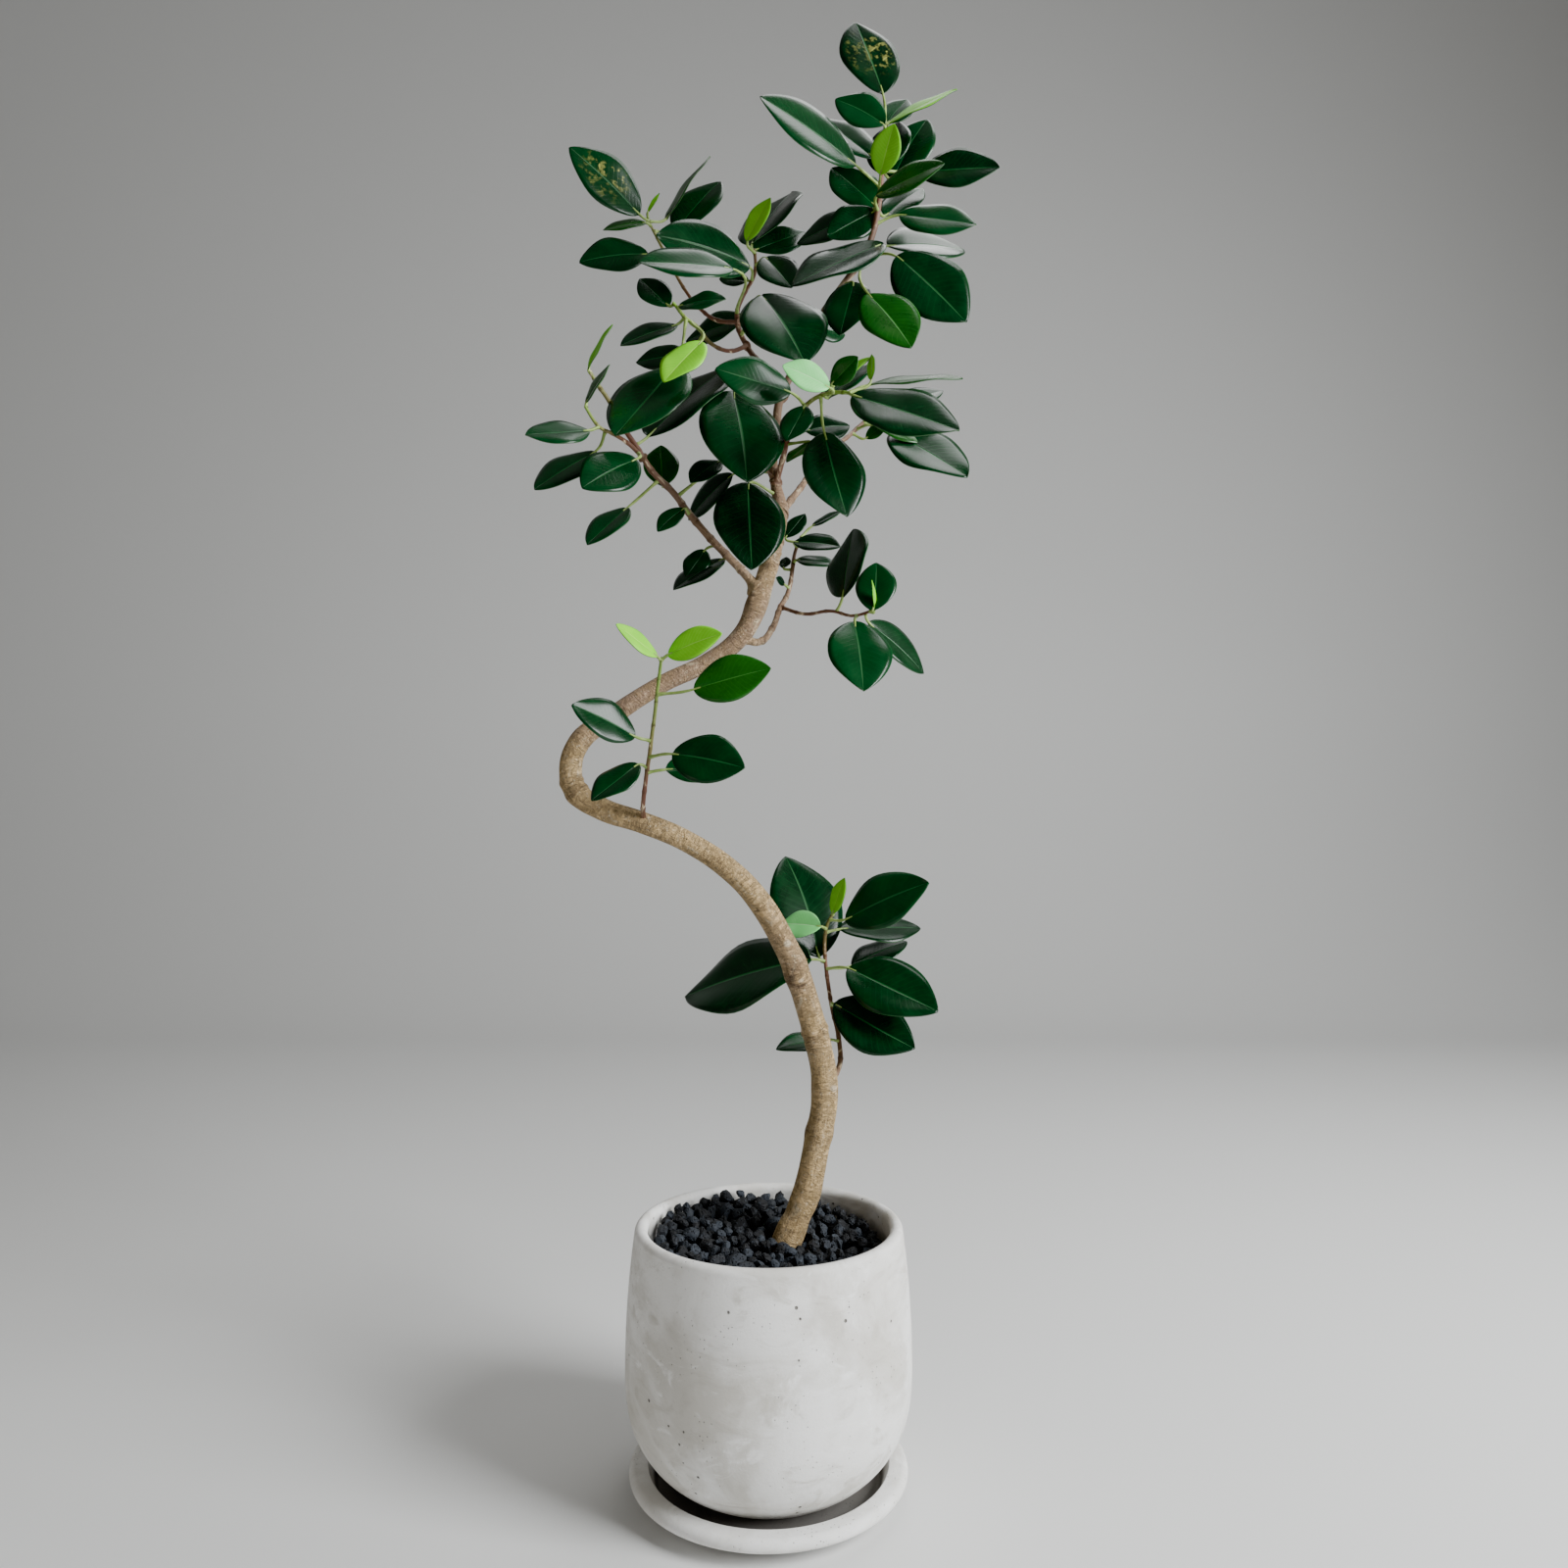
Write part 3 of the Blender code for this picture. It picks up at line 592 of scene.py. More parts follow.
def round_scars(heights, outward):
    """The pads of the round scars, and the crescent under each, sunk a little and darkened with painted
    shade.
    """
    pads, shaded_crescents = np.zeros(outward.shape[:2]), np.zeros(outward.shape[:2])
    for height, way, size in ROUND_SCARS:
        aside = np.arccos(np.clip(facing(outward, way, 1), 0, 1)) * TRUNK_GIRTH / size
        rise = (heights - height)[:, None] / size
        pads += np.exp(-rise ** 2 - aside ** 2)
        shaded_crescents += np.exp(-((rise + 0.95 - 0.35 * aside ** 2) / 0.32) ** 2 - aside ** 2)
    return pads, shaded_crescents


def trunk_marks(centres, outward, column):
    """What all the marks add: column 0 is how far they swell and column 1 how dark they are, with painted
    shade in the crescents under the round scars.
    """
    total = np.zeros(outward.shape[:2])
    heights = (centres[:, 2] - GRAVEL_TOP) / PLANT_SCALE
    for height, way, length, swell, dark in TRUNK_MARKS:
        reach = np.exp(-((heights - height) / length) ** 2)[:, None] * facing(outward, way)
        total += reach * (MARK_RELIEF * swell, dark)[column]
    pads, shaded_crescents = round_scars(heights, outward)
    return total + (0.13 * pads - 0.06 * shaded_crescents, 1.3 * shaded_crescents - 1.1 * pads)[column]


def trunk_swell(along, centres, outward):
    slow = np.sin(along * 95)[:, None] * outward[:, :, 0] + np.sin(along * 61 + 1)[:, None] * outward[:, :, 1]
    ribs = np.sin(np.arctan2(outward[:, :, 1], outward[:, :, 0]) * 5 + along[:, None] * 34)
    return trunk_marks(centres, outward, 0) + slow * 0.045 + ribs * 0.022


def trunk_age(along, centres):
    heights, ages = zip(*TRUNK_AGES)
    return np.interp((centres[:, 2] - GRAVEL_TOP) / PLANT_SCALE, heights, ages)


def trunk_scar_and_shade(along, centres, outward):
    return np.clip(trunk_marks(centres, outward, 1), -1, 1)


foot, above = on_plant(*TRUNK[0][:3]), on_plant(*TRUNK[1][:3])
down = (foot - above).normalized() * BURIED_DEPTH * PLANT_SCALE
trunk_points = [(foot + down, 10.1 * MM), (foot + down * 0.45, 9.7 * MM)]
trunk_points += [(on_plant(x, y, height), radius * MM) for x, y, height, radius in TRUNK]
trunk_points.append((on_plant(76, 0, 720), 0.3 * MM))
trunk, trunk_rings = rod("trunk_and_branches_bark", trunk_points, TRUNK_FACETS, TRUNK_STEPS)
stems = {}
trunk_line = clothe(trunk, trunk_rings, trunk_swell, trunk_age, trunk_scar_and_shade)
stems["leader"] = [spot for spot in trunk_line if spot[0].z >= on_plant(0, 0, LEADER_START).z - 0.2 * MM]


# The branches and twigs: thinner stems that grew from the trunk and from each other, brown at the foot,
# red-brown or green towards the tip, with a ring at each leaf joint. They are one growth with the trunk.

# Parent's radius, radii at foot and tip, ages at foot and tip, then the route from inside the parent
TWIGS = {
    "left_branch": (5.0, (3.2, 1.1), (0.95, 0.15), (
        (-8, 0, 409), (-18, -1, 421), (-28, -1, 431), (-47, -5, 451), (-62, -12, 469), (-74, -18, 480),
        (-82, -23, 492), (-90, -28, 503), (-98, -35, 517), (-106, -40, 528), (-109, -42, 533))),
    "left_twig": (1.6, (1.5, 0.9), (0.55, 0.05), (
        (-79, -21, 487), (-87, -33, 492), (-94, -45, 493), (-101, -54, 494), (-107, -66, 501))),
    "right_branch": (5.0, (2.8, 1.0), (0.95, 0.5), (
        (-18, 2, 378), (-7, 8, 376), (2, 18, 388), (7, 26, 403), (12, 32, 414), (15, 39, 432),
        (17, 43, 445), (21, 46, 456))),
    "right_twig": (2.0, (1.3, 0.9), (0.5, 0.42), (
        (7, 27, 403), (23, 11, 395), (39, -7, 393), (52, -21, 387), (62, -34, 387))),
    "right_fork": (4.0, (2.6, 1.3), (0.85, 0.5), (
        (7, 0, 458), (19, 14, 478), (29, 26, 496), (41, 41, 515), (54, 56, 530), (66, 68, 545))),
    "centre_stem": (3.0, (2.0, 1.1), (0.5, 0.0), (
        (4, 2, 479), (9, -10, 492), (13, -23, 504), (19, -33, 510), (26, -44, 514), (37, -53, 515),
        (49, -60, 512))),
    "left_stem": (2.6, (2.6, 1.0), (0.66, 0.3), (
        (7, 8, 538), (-4, 23, 564), (-16, 33, 584), (-23, 37, 607), (-18, 36, 622), (-11, 35, 635),
        (-11, 36, 653))),
    "left_low_twig": (1.8, (1.6, 1.0), (0.5, 0.0), (
        (-16, 33, 584), (-27, 21, 575), (-39, 5, 573), (-46, -10, 576), (-54, -24, 577), (-59, -34, 580))),
    "left_long_twig": (1.7, (1.6, 0.9), (0.5, 0.12), (
        (-21, 36, 602), (-37, 43, 607), (-49, 49, 618), (-59, 53, 632), (-70, 56, 653), (-76, 57, 665),
        (-82, 58, 677), (-88, 62, 691))),
    "bend_shoot": (6.0, (1.6, 0.9), (0.52, 0.0), (
        (-78, -12, 259), (-76, -30, 271), (-73, -40, 286), (-69, -49, 307), (-66, -55, 326),
        (-64, -59, 340), (-62, -62, 353))),
    "lower_twig": (7.0, (2.0, 1.0), (0.75, 0.2), (
        (35, 10, 93), (45, 29, 101), (46, 39, 114), (41, 50, 139), (38, 56, 161), (37, 58, 179),
        (39, 56, 192), (43, 56, 199))),
    "cut_stub": (4.0, (1.7, 1.4), (0.95, 0.95), ((5, 1, 430), (-2, -5, 436), (-5, -8, 440))),
    "cross_twig": (3.0, (1.0, 0.6), (0.6, 0.5), ((4, 2, 483), (-4, -3, 486), (-13, -8, 488))),
}
JOINT_SPACING = 14 * MM

def joint_rings(along, width):
    return np.exp(-(((along + 5 * MM) % JOINT_SPACING - JOINT_SPACING / 2) / width) ** 2)


limbs = []
for name, (parent_radius, radii, ages, route) in TWIGS.items():
    last = len(route) - 1
    points = [
        (on_plant(*place), (radii[0] + (radii[1] - radii[0]) * (step / last) ** 0.7) * MM)
        for step, place in enumerate(route)
    ]
    tip_way = (points[-1][0] - points[-2][0]).normalized()
    points.append((points[-1][0] + tip_way * 1.2 * MM, 0.25 * MM))

    def swell(along, centres, outward, parent=parent_radius * MM):
        collar = 1.3 * np.exp(-(along / (0.85 * parent)) ** 2)
        uneven = 0.05 * np.sin(along * 260)[:, None] * outward[:, :, 0]
        return (collar + 0.20 * joint_rings(along, 1.1 * MM))[:, None] + uneven

    def age(along, centres, ages=ages):
        return np.interp(along / along[-1], (0, 1), ages)

    def scar_and_shade(along, centres, outward):
        return np.repeat(joint_rings(along, 0.9 * MM)[:, None], outward.shape[1], axis=1) * 0.6

    limb, limb_rings = rod(name, points, TWIG_FACETS, TWIG_STEPS)
    stems[name] = clothe(limb, limb_rings, swell, age, scar_and_shade)[:-TWIG_STEPS]
    limbs.append(limb)
only(trunk)
for limb in limbs:
    limb.select_set(True)
bpy.ops.object.join()
wood = bpy.context.object
soften(wood, 60)

bark, bark_shader, maker = new_finish("ficus_bark")
place = maker.add("Attribute", {"attribute_name": "bark_place"}, out="Vector")
age = maker.add("Attribute", {"attribute_name": "age"}, out="Fac")
scar_and_shade = maker.add("Attribute", {"attribute_name": "scar_and_shade"}, out="Fac")
cracks = place.stretched(1, 1, 0.2).cloud(820, 6, 0.65, 0.4)
patches = place.stretched(1, 1, 0.6).cloud(120, 5, 0.65, 1.0)
wrinkles = place.stretched(0.40, 0.40, 1).cloud(430, 5, 0.65, 1.6)
specks = place.stretched(1, 1, 0.6).cells(430)
ripe = age.add("ValToRGB", {"stops": (
    (0.0, (0.17, 0.33, 0.035)), (0.16, (0.16, 0.20, 0.04)), (0.36, (0.15, 0.050, 0.025)),
    (0.55, (0.13, 0.070, 0.040)), (0.76, (0.27, 0.165, 0.100)), (0.88, (0.42, 0.280, 0.180)),
    (1.0, (0.58, 0.405, 0.200)))}, {"Fac": age}, out="Color")
old = age.rise(0.6, 0.95)
bark_colour = (patches.rise(0.44, 0.64) * 0.55 * old).mix(ripe, (0.34, 0.225, 0.090))
bark_colour = (1 - patches.rise(0.30, 0.44)).mix(bark_colour, (0.74, 0.60, 0.39))
bark_colour = (cracks.rise(0.50, 0.66) * (0.25 + 0.30 * old)).mix(bark_colour, (0.100, 0.066, 0.030))
bark_colour = (wrinkles.rise(0.55, 0.66) * 0.50 * old).mix(bark_colour, (0.135, 0.090, 0.040))
bark_colour = ((1 - specks.rise(0.10, 0.24)) * 0.55 * old).mix(bark_colour, (0.70, 0.60, 0.43))
bark_colour = (-scar_and_shade).rise(0.15, 0.7).mix(bark_colour, (0.74, 0.60, 0.41))
scar_and_shade = scar_and_shade.rise(0.0, 1.0)
# The scar channel darkens wounds, collars and joint rings, and paints shade into the crescents under the
# round scars.
bark_colour = (scar_and_shade * (0.45 + 0.7 * wrinkles)).mix(bark_colour, (0.090, 0.046, 0.022))
feed(bark_shader, "Base Color", bark_colour)
feed(bark_shader, "Roughness", 0.48 + 0.28 * old + cracks * 0.12)
bark_height = cracks * -0.7 * (0.3 + 0.7 * old) - wrinkles.rise(0.40, 0.70) * 0.8 * old
bark_height = bark_height - scar_and_shade * wrinkles * 1.2
feed(bark_shader, "Normal", relief(bark_height, 1.6 * MM))
wear(wood, bark)
settle(wood, "bark", "trunk_and_branches")


# The leaves: leathery ovals with a blunt point, glossy and dark above, paler and matt below, with a pale
# midrib and edge. Each hangs from the stem by a pale green stalk. Young ones near the tips are lime.

# The share of the stem's length where the stalk leaves it, the blade's base from there in mm, the blade's
# direction seen from the front in degrees, its lean to the front, its roll, length, width and its colour
LEAVES = {
    "leader": (
        (0.99, (-1, 4, 25), 105, -4, -15, 59, 39, "deep"),
        (0.96, (0, -6, 5), 145, -6, -5, 38, 25, "deep"),
        (0.82, (-1, -16, 4), 75, 34, 30, 28, 21, "lime"),
        (0.84, (-17, -14, 6), 155, 27, -30, 70, 43, "deep"),
        (0.91, (-5, 6, 4), 130, -10, -25, 52, 32, "deep"),
        (0.88, (9, 14, 3), 65, -4, 20, 52, 34, "deep"),
        (0.88, (25, 6, 3), -5, 21, 15, 51, 31, "deep"),
        (0.78, (-2, -12, 4), 10, 34, 30, 46, 28, "fresh"),
        (0.75, (15, -4, 4), -15, 20, 25, 50, 31, "deep"),
        (0.70, (13, 7, 3), 20, -24, 30, 65, 40, "deep"),
        (0.66, (21, -22, -9), -50, 18, 5, 64, 42, "deep"),
        (0.67, (12, -14, 1), -150, 19, -40, 70, 43, "deep"),
        (0.10, (-27, 13, 3), -145, -18, -40, 42, 26, "deep"),
        (0.04, (-19, -15, 4), -85, 29, 15, 66, 43, "deep"),
        (0.59, (7, -6, -1), -105, 26, -20, 46, 30, "deep"),
        (0.65, (3, -37, -39), -60, 26, 10, 52, 34, "fresh"),
        (0.99, (2, 8, 7), 60, -17, 15, 29, 21, "deep"),
        (0.99, (2, 2, 3), 25, 12, 50, 47, 22, "lime"),
        (0.88, (-1, 8, 4), 75, -8, 25, 45, 29, "deep"),
        (0.78, (6, 10, 3), 50, -17, 25, 41, 25, "deep"),
        (0.80, (-1, 10, 4), 130, -9, -10, 44, 29, "deep"),
        (0.78, (-1, 4, 3), -145, 20, -5, 39, 25, "deep"),
        (0.79, (-9, 12, 4), -170, -17, -30, 47, 29, "deep"),
        (0.48, (-1, 12, 4), 5, -28, 5, 25, 17, "deep"),
    ),
    "left_stem": (
        (0.83, (-1, -15, 2), 175, 35, -15, 65, 40, "deep"),
        (0.64, (0, -57, 1), -175, 27, -35, 60, 36, "deep"),
        (0.63, (5, 10, 2), -175, -24, -25, 47, 28, "deep"),
        (0.98, (-5, -12, 2), 60, 20, 35, 30, 18, "lime"),
        (0.99, (-3, 8, 9), 70, -25, 40, 76, 46, "deep"),
        (0.51, (15, -40, 8), -65, 34, 15, 75, 52, "deep"),
        (0.04, (-29, -14, -5), -80, 31, 20, 79, 52, "deep"),
        (0.91, (7, -8, 2), -60, 33, 10, 40, 26, "deep"),
        (0.99, (-1, 6, 4), 35, -17, 20, 46, 28, "deep"),
        (0.82, (-2, 4, 3), 165, -10, -20, 21, 13, "deep"),
    ),
    "left_long_twig": (
        (0.97, (-6, -7, 1), 140, 27, -20, 59, 36, "deep"),
        (0.89, (15, 10, 6), 60, -10, 25, 56, 34, "deep"),
        (0.70, (-13, -3, 1), -165, 21, -15, 48, 29, "deep"),
        (0.93, (-3, -3, 1), -170, 12, -40, 30, 17, "fresh"),
        (0.99, (0, -2, 4), 60, 13, 30, 15, 4, "lime"),
        (0.97, (12, 6, 5), 65, -5, 60, 59, 28, "fresh"),
    ),
    "left_low_twig": (
        (0.77, (9, -21, -23), -125, 27, -25, 41, 25, "lime"),
        (0.82, (-6, 2, -29), -120, 34, -25, 77, 47, "deep"),
        (0.99, (-4, 5, 1), 130, -9, -15, 29, 19, "deep"),
        (0.91, (0, -7, 0), 0, 27, 35, 31, 19, "deep"),
        (0.84, (-5, 4, -3), -155, 19, -40, 39, 24, "deep"),
        (0.57, (-12, 7, -9), -180, -10, -25, 34, 21, "deep"),
    ),
    "left_branch": (
        (0.70, (7, 7, 8), 55, -18, 40, 83, 50, "deep"),
        (0.55, (-21, 4, -17), -130, 34, -35, 40, 24, "deep"),
        (0.46, (27, 7, 26), -135, 34, -25, 29, 18, "deep"),
        (0.23, (-8, 9, -1), -120, 33, -15, 25, 16, "deep"),
        (0.15, (-5, 5, 2), -145, 26, -50, 41, 25, "deep"),
        (0.99, (-2, -1, 2), 65, 11, 60, 30, 13, "lime"),
        (0.53, (-2, 12, 2), 95, -18, -5, 34, 22, "fresh"),
        (0.38, (-3, -9, 1), -135, 20, -25, 23, 14, "deep"),
    ),
    "centre_stem": (
        (0.62, (-9, -14, 3), 170, 28, -10, 46, 28, "deep"),
        (0.87, (-3, -12, -2), 160, 21, -10, 29, 18, "mint"),
        (0.99, (1, -6, -4), -25, 27, 30, 69, 42, "deep"),
        (0.44, (8, -1, -4), 20, -24, 20, 33, 20, "deep"),
        (0.77, (2, -3, -24), -75, 21, 20, 57, 37, "deep"),
        (0.84, (1, -4, 4), 40, 35, 15, 21, 15, "fresh"),
        (0.85, (2, -1, 5), 40, 11, 55, 25, 15, "lime"),
        (0.99, (13, 2, 9), 95, 10, 75, 14, 13, "lime"),
        (0.79, (3, 4, -1), 55, -25, 45, 48, 29, "deep"),
        (0.99, (11, 10, 9), 5, 11, 60, 55, 28, "fresh"),
        (0.61, (0, -7, -2), -115, 28, -20, 30, 19, "deep"),
        (0.29, (16, 0, 1), -140, 26, -50, 23, 14, "fresh"),
    ),
    "right_fork": (
        (0.99, (20, -1, -7), -40, 34, 30, 72, 44, "deep"),
        (0.91, (11, -7, 1), -5, -11, 40, 45, 28, "fresh"),
        (0.99, (16, -5, 9), 25, -11, 40, 45, 27, "deep"),
        (0.86, (10, -1, -4), 35, 20, 25, 17, 11, "fresh"),
    ),
    "right_twig": (
        (0.63, (4, -2, 9), 85, -25, 50, 57, 35, "deep"),
        (0.99, (2, -3, 0), 85, -21, 10, 36, 24, "deep"),
        (0.85, (-2, -7, -5), -85, 40, 10, 56, 37, "deep"),
        (0.94, (2, 4, -5), -35, -18, 45, 48, 29, "deep"),
        (0.99, (3, -1, -1), 90, 11, -60, 19, 4, "lime"),
    ),
    "left_twig": (
        (0.73, (-5, -4, -4), -165, 34, -35, 39, 24, "deep"),
        (0.63, (-8, 13, -8), -140, 27, -35, 47, 29, "deep"),
        (0.08, (2, -23, -12), -135, 42, -5, 47, 30, "deep"),
        (0.99, (0, 0, 3), 60, 11, 60, 25, 20, "fresh"),
    ),
    "bend_shoot": (
        (0.99, (4, -2, 3), 20, 27, 30, 35, 21, "lime"),
        (0.81, (22, -7, 2), 15, 20, 20, 46, 28, "fresh"),
        (0.56, (-9, -4, 2), 150, 34, -35, 41, 25, "deep"),
        (0.47, (15, -11, 1), -10, 27, 20, 45, 30, "deep"),
        (0.41, (-5, -3, 2), -140, 33, -40, 37, 23, "deep"),
        (0.99, (-2, -2, 2), 140, 32, -60, 30, 18, "lime"),
        (0.38, (11, 1, 2), 5, -11, 40, 43, 26, "deep"),
    ),
    "lower_twig": (
        (0.73, (-4, 19, 2), 105, -20, -25, 79, 51, "deep"),
        (0.91, (-4, -6, 2), 175, -26, -30, 30, 20, "mint"),
        (0.96, (10, -6, 0), 30, 26, 40, 62, 38, "deep"),
        (0.89, (10, 5, 2), 5, -12, 60, 57, 35, "deep"),
        (0.70, (14, -11, 2), -20, 34, 35, 67, 41, "deep"),
        (0.51, (1, -13, 3), -25, 20, 30, 58, 38, "deep"),
        (0.74, (-10, -5, 2), -165, -26, -55, 105, 64, "deep"),
        (0.99, (0, -2, 1), 75, 12, 50, 25, 13, "lime"),
        (0.70, (18, 10, 1), 25, -19, 60, 44, 27, "deep"),
        (0.32, (-7, -4, 2), -180, 24, -70, 36, 22, "deep"),
    ),
    "right_branch": (
        (0.95, (-9, 4, 5), 55, -10, 30, 23, 14, "deep"),
        (0.99, (8, 2, 9), 30, 11, 60, 22, 15, "deep"),
        (0.92, (-2, -6, 2), -10, 26, 40, 33, 20, "deep"),
        (0.80, (2, -2, 2), -5, 19, 50, 27, 16, "deep"),
        (0.75, (-6, 2, 2), 80, -29, 20, 11, 8, "deep"),
        (0.61, (-3, -4, 2), 150, 50, -30, 9, 6, "deep"),
    ),
}

BLADE_THICKNESS = 0.5 * MM
LONGER, WIDER = 1.03, 1.09  # a blade beside the CAD leaf, whose straight edges cut its corners
STALK_RADIUS = 0.95 * MM
MIDRIB_GROOVE = 0.35 * MM
BLOTCHED = ("leader_blade_1", "left_long_twig_blade_1")  # two old leaves with pale yellow blotches
BLADE_ACROSS, BLADE_ALONG = 14, 24
STALK_SIDES, STALK_STEPS = 8, 9


def blade_outline(share):
    """The blade's half width at a share of its length, over its greatest half width."""
    broad = math.sin(math.pi * min(max(share, 0.0005), 0.9995))
    return broad ** (0.62 if share < 0.5 else 0.76) * (1 - 0.06 * share)


# The blank of a blade is a grid with its lines closer together at the midrib, edges and ends
deselect()
bpy.ops.mesh.primitive_grid_add(x_subdivisions=BLADE_ACROSS, y_subdivisions=BLADE_ALONG, size=2)
blade_blank = bpy.context.object
blade_blank.name = "blade_blank"
for vert in blade_blank.data.vertices:
    across, along = vert.co.x, (vert.co.y + 1) / 2
    vert.co.x = math.copysign(0.55 * abs(across) ** 1.7 + 0.45 * abs(across), across)
    vert.co.y = along - 0.075 * math.sin(math.tau * along)
for loop in blade_blank.data.loops:
    spot = blade_blank.data.vertices[loop.vertex_index].co
    blade_blank.data.uv_layers[0].data[loop.index].uv = (spot.x / 2 + 0.5, spot.y)

# The blank of a stalk is a straight tube one unit long
bpy.ops.mesh.primitive_cylinder_add(
    vertices=STALK_SIDES, radius=1, depth=1, location=(0, 0, 0.5), end_fill_type="NOTHING")
stalk_blank = bpy.context.object
stalk_blank.name = "stalk_blank"
bpy.ops.object.transform_apply(location=True)
bpy.ops.object.mode_set(mode="EDIT")
for step in range(1, STALK_STEPS):
    bpy.ops.mesh.select_all(action="SELECT")
    bpy.ops.mesh.bisect(plane_co=(0, 0, step / STALK_STEPS), plane_no=(0, 0, 1))
deselect()


def leaf_skin(name, dark, light, vein, gloss, side_veins):
    """The upper face: glossy, with a pale midrib and fine side veins in its colour and relief."""
    made, shader, maker = new_finish(name)
    surface = maker.add("UVMap", {"uv_map": "UVMap"}, out="UV")
    across, along = surface.part("X"), surface.part("Y")
    tint = maker.add("Attribute", {"attribute_name": "leaf_tint"}, out="Fac")
    place = maker.add("TexCoord", out="Object")
    from_rib = (across - 0.5).size()
    rib = 1 - from_rib.rise(0.006, 0.022)
    wander = place.cloud(130, 2, 0.5)
    comb = ((along - from_rib * 0.42 + wander * 0.02) * 96).sine()
    comb = comb.rise(0.72, 1.0) * (1 - from_rib.rise(0.36, 0.48)) * from_rib.rise(0.01, 0.05)
    mottle = place.cloud(95, 4, 0.6)
    skin = (tint * 0.75 + mottle.rise(0.35, 0.75) * 0.35).mix(dark, light)
    skin = (comb * side_veins).mix(skin, vein)
    blotch = maker.add("Attribute", {"attribute_name": "blotch"}, out="Fac")
    blotch = blotch * place.cloud(200, 4, 0.6).rise(0.51, 0.62) * (0.35 + 0.65 * across.rise(0.45, 0.6))
    blotch = blotch * along.rise(0.20, 0.42) * (1 - along.rise(0.66, 0.88)) * (1 - from_rib.rise(0.32, 0.42))
    skin = (blotch * (0.40 + 0.5 * comb)).mix(skin, (0.40, 0.40, 0.10))
    skin = (from_rib.rise(0.478, 0.496) * 0.35).mix(skin, vein)
    skin = (rib * 0.75).mix(skin, vein)
    feed(shader, "Base Color", skin)
    feed(shader, "Roughness", gloss + mottle * 0.08 + rib * 0.2)
    shader.inputs["Specular IOR Level"].default_value = 0.27
    feed(shader, "Normal", relief(mottle * 0.25 - comb * 0.08 - rib * 0.8, 0.2 * MM))
    return made


def leaf_back(name, shade, vein):
    """The underside: paler and matt, with a raised pale midrib and a net of veins."""
    made, shader, maker = new_finish(name)
    surface = maker.add("UVMap", {"uv_map": "UVMap"}, out="UV")
    across, along = surface.part("X"), surface.part("Y")
    place = maker.add("TexCoord", out="Object")
    from_rib = (across - 0.5).size()
    rib = 1 - from_rib.rise(0.012, 0.034)
    comb = ((along - from_rib * 0.42) * 96).sine().rise(0.5, 1.0)
    net = 1 - place.cells(1100, "DISTANCE_TO_EDGE").rise(0.02, 0.12)
    skin = (comb * 0.35 + net * 0.15).mix(shade, vein)
    skin = (rib * 0.85).mix(skin, vein)
    feed(shader, "Base Color", skin)
    feed(shader, "Roughness", 0.62 + net * 0.1)
    feed(shader, "Normal", relief(rib * 0.9 + comb * 0.25 + net * 0.1, 0.6 * MM))
    return made


def plain_green(name, low, high, scale):
    made, shader, maker = new_finish(name)
    place = maker.add("TexCoord", out="Object")
    streak = place.cloud(scale, 4, 0.6)
    feed(shader, "Base Color", streak.rise(0.35, 0.68).mix(low, high))
    feed(shader, "Roughness", 0.42 + streak * 0.2)
    feed(shader, "Normal", relief(streak, 0.3 * MM))
    return made


LEAF_FINISHES = {
    "deep": ((0.0006, 0.0105, 0.0030), (0.0032, 0.0440, 0.0110), (0.017, 0.110, 0.030), 0.20, 0.07),
    "fresh": ((0.0025, 0.0330, 0.0025), (0.0110, 0.1050, 0.0080), (0.050, 0.230, 0.035), 0.24, 0.12),
    "lime": ((0.1150, 0.4700, 0.0050), (0.2400, 0.7200, 0.0200), (0.460, 0.820, 0.120), 0.38, 0.18),
    "mint": ((0.0800, 0.4800, 0.1000), (0.2200, 0.7200, 0.2300), (0.480, 0.860, 0.420), 0.32, 0.15),
}
BACK_SHADES = {
    "deep": (0.012, 0.038, 0.012), "fresh": (0.045, 0.160, 0.018),
    "lime": (0.160, 0.460, 0.020), "mint": (0.300, 0.620, 0.220),
}
leaf_tops = {kind: leaf_skin(f"{kind}_leaf_top", *finish) for kind, finish in LEAF_FINISHES.items()}
BACK_VEIN = (0.09, 0.19, 0.05)
leaf_backs = {kind: leaf_back(f"{kind}_leaf_back", shade, BACK_VEIN) for kind, shade in BACK_SHADES.items()}
leaf_edge = plain_green("leaf_edge", (0.012, 0.055, 0.014), (0.040, 0.110, 0.030), 300)
leaf_stalk = plain_green("leaf_stalk", (0.200, 0.300, 0.060), (0.330, 0.450, 0.130), 220)


def spot_along(line, share):
    """The point and radius at a share of a stem's length."""
    lengths = [(after[0] - before[0]).length for before, after in zip(line, line[1:])]
    left = share * sum(lengths)
    for (before, radius), (after, _), length in zip(line, line[1:], lengths):
        if left <= length:
            break
        left -= length
    return before.lerp(after, min(left / length, 1)), radius


def blade_axes(aim, lean, roll):
    """A blade's length, side and face directions."""
    aim, lean, roll = math.radians(aim), math.radians(lean), math.radians(roll)
    along = Vector((math.cos(aim) * math.cos(lean), -math.sin(lean), math.sin(aim) * math.cos(lean)))
    front = Vector((0, -1, 0))
    face = (front - along * along.dot(front)).normalized()
    face.rotate(Quaternion(along, -roll))
    return along, along.cross(face), face


def copy_of(blank, name):
    made = blank.copy()
    made.data = blank.data.copy()
    made.name = made.data.name = name
    bpy.context.scene.collection.objects.link(made)
    return made


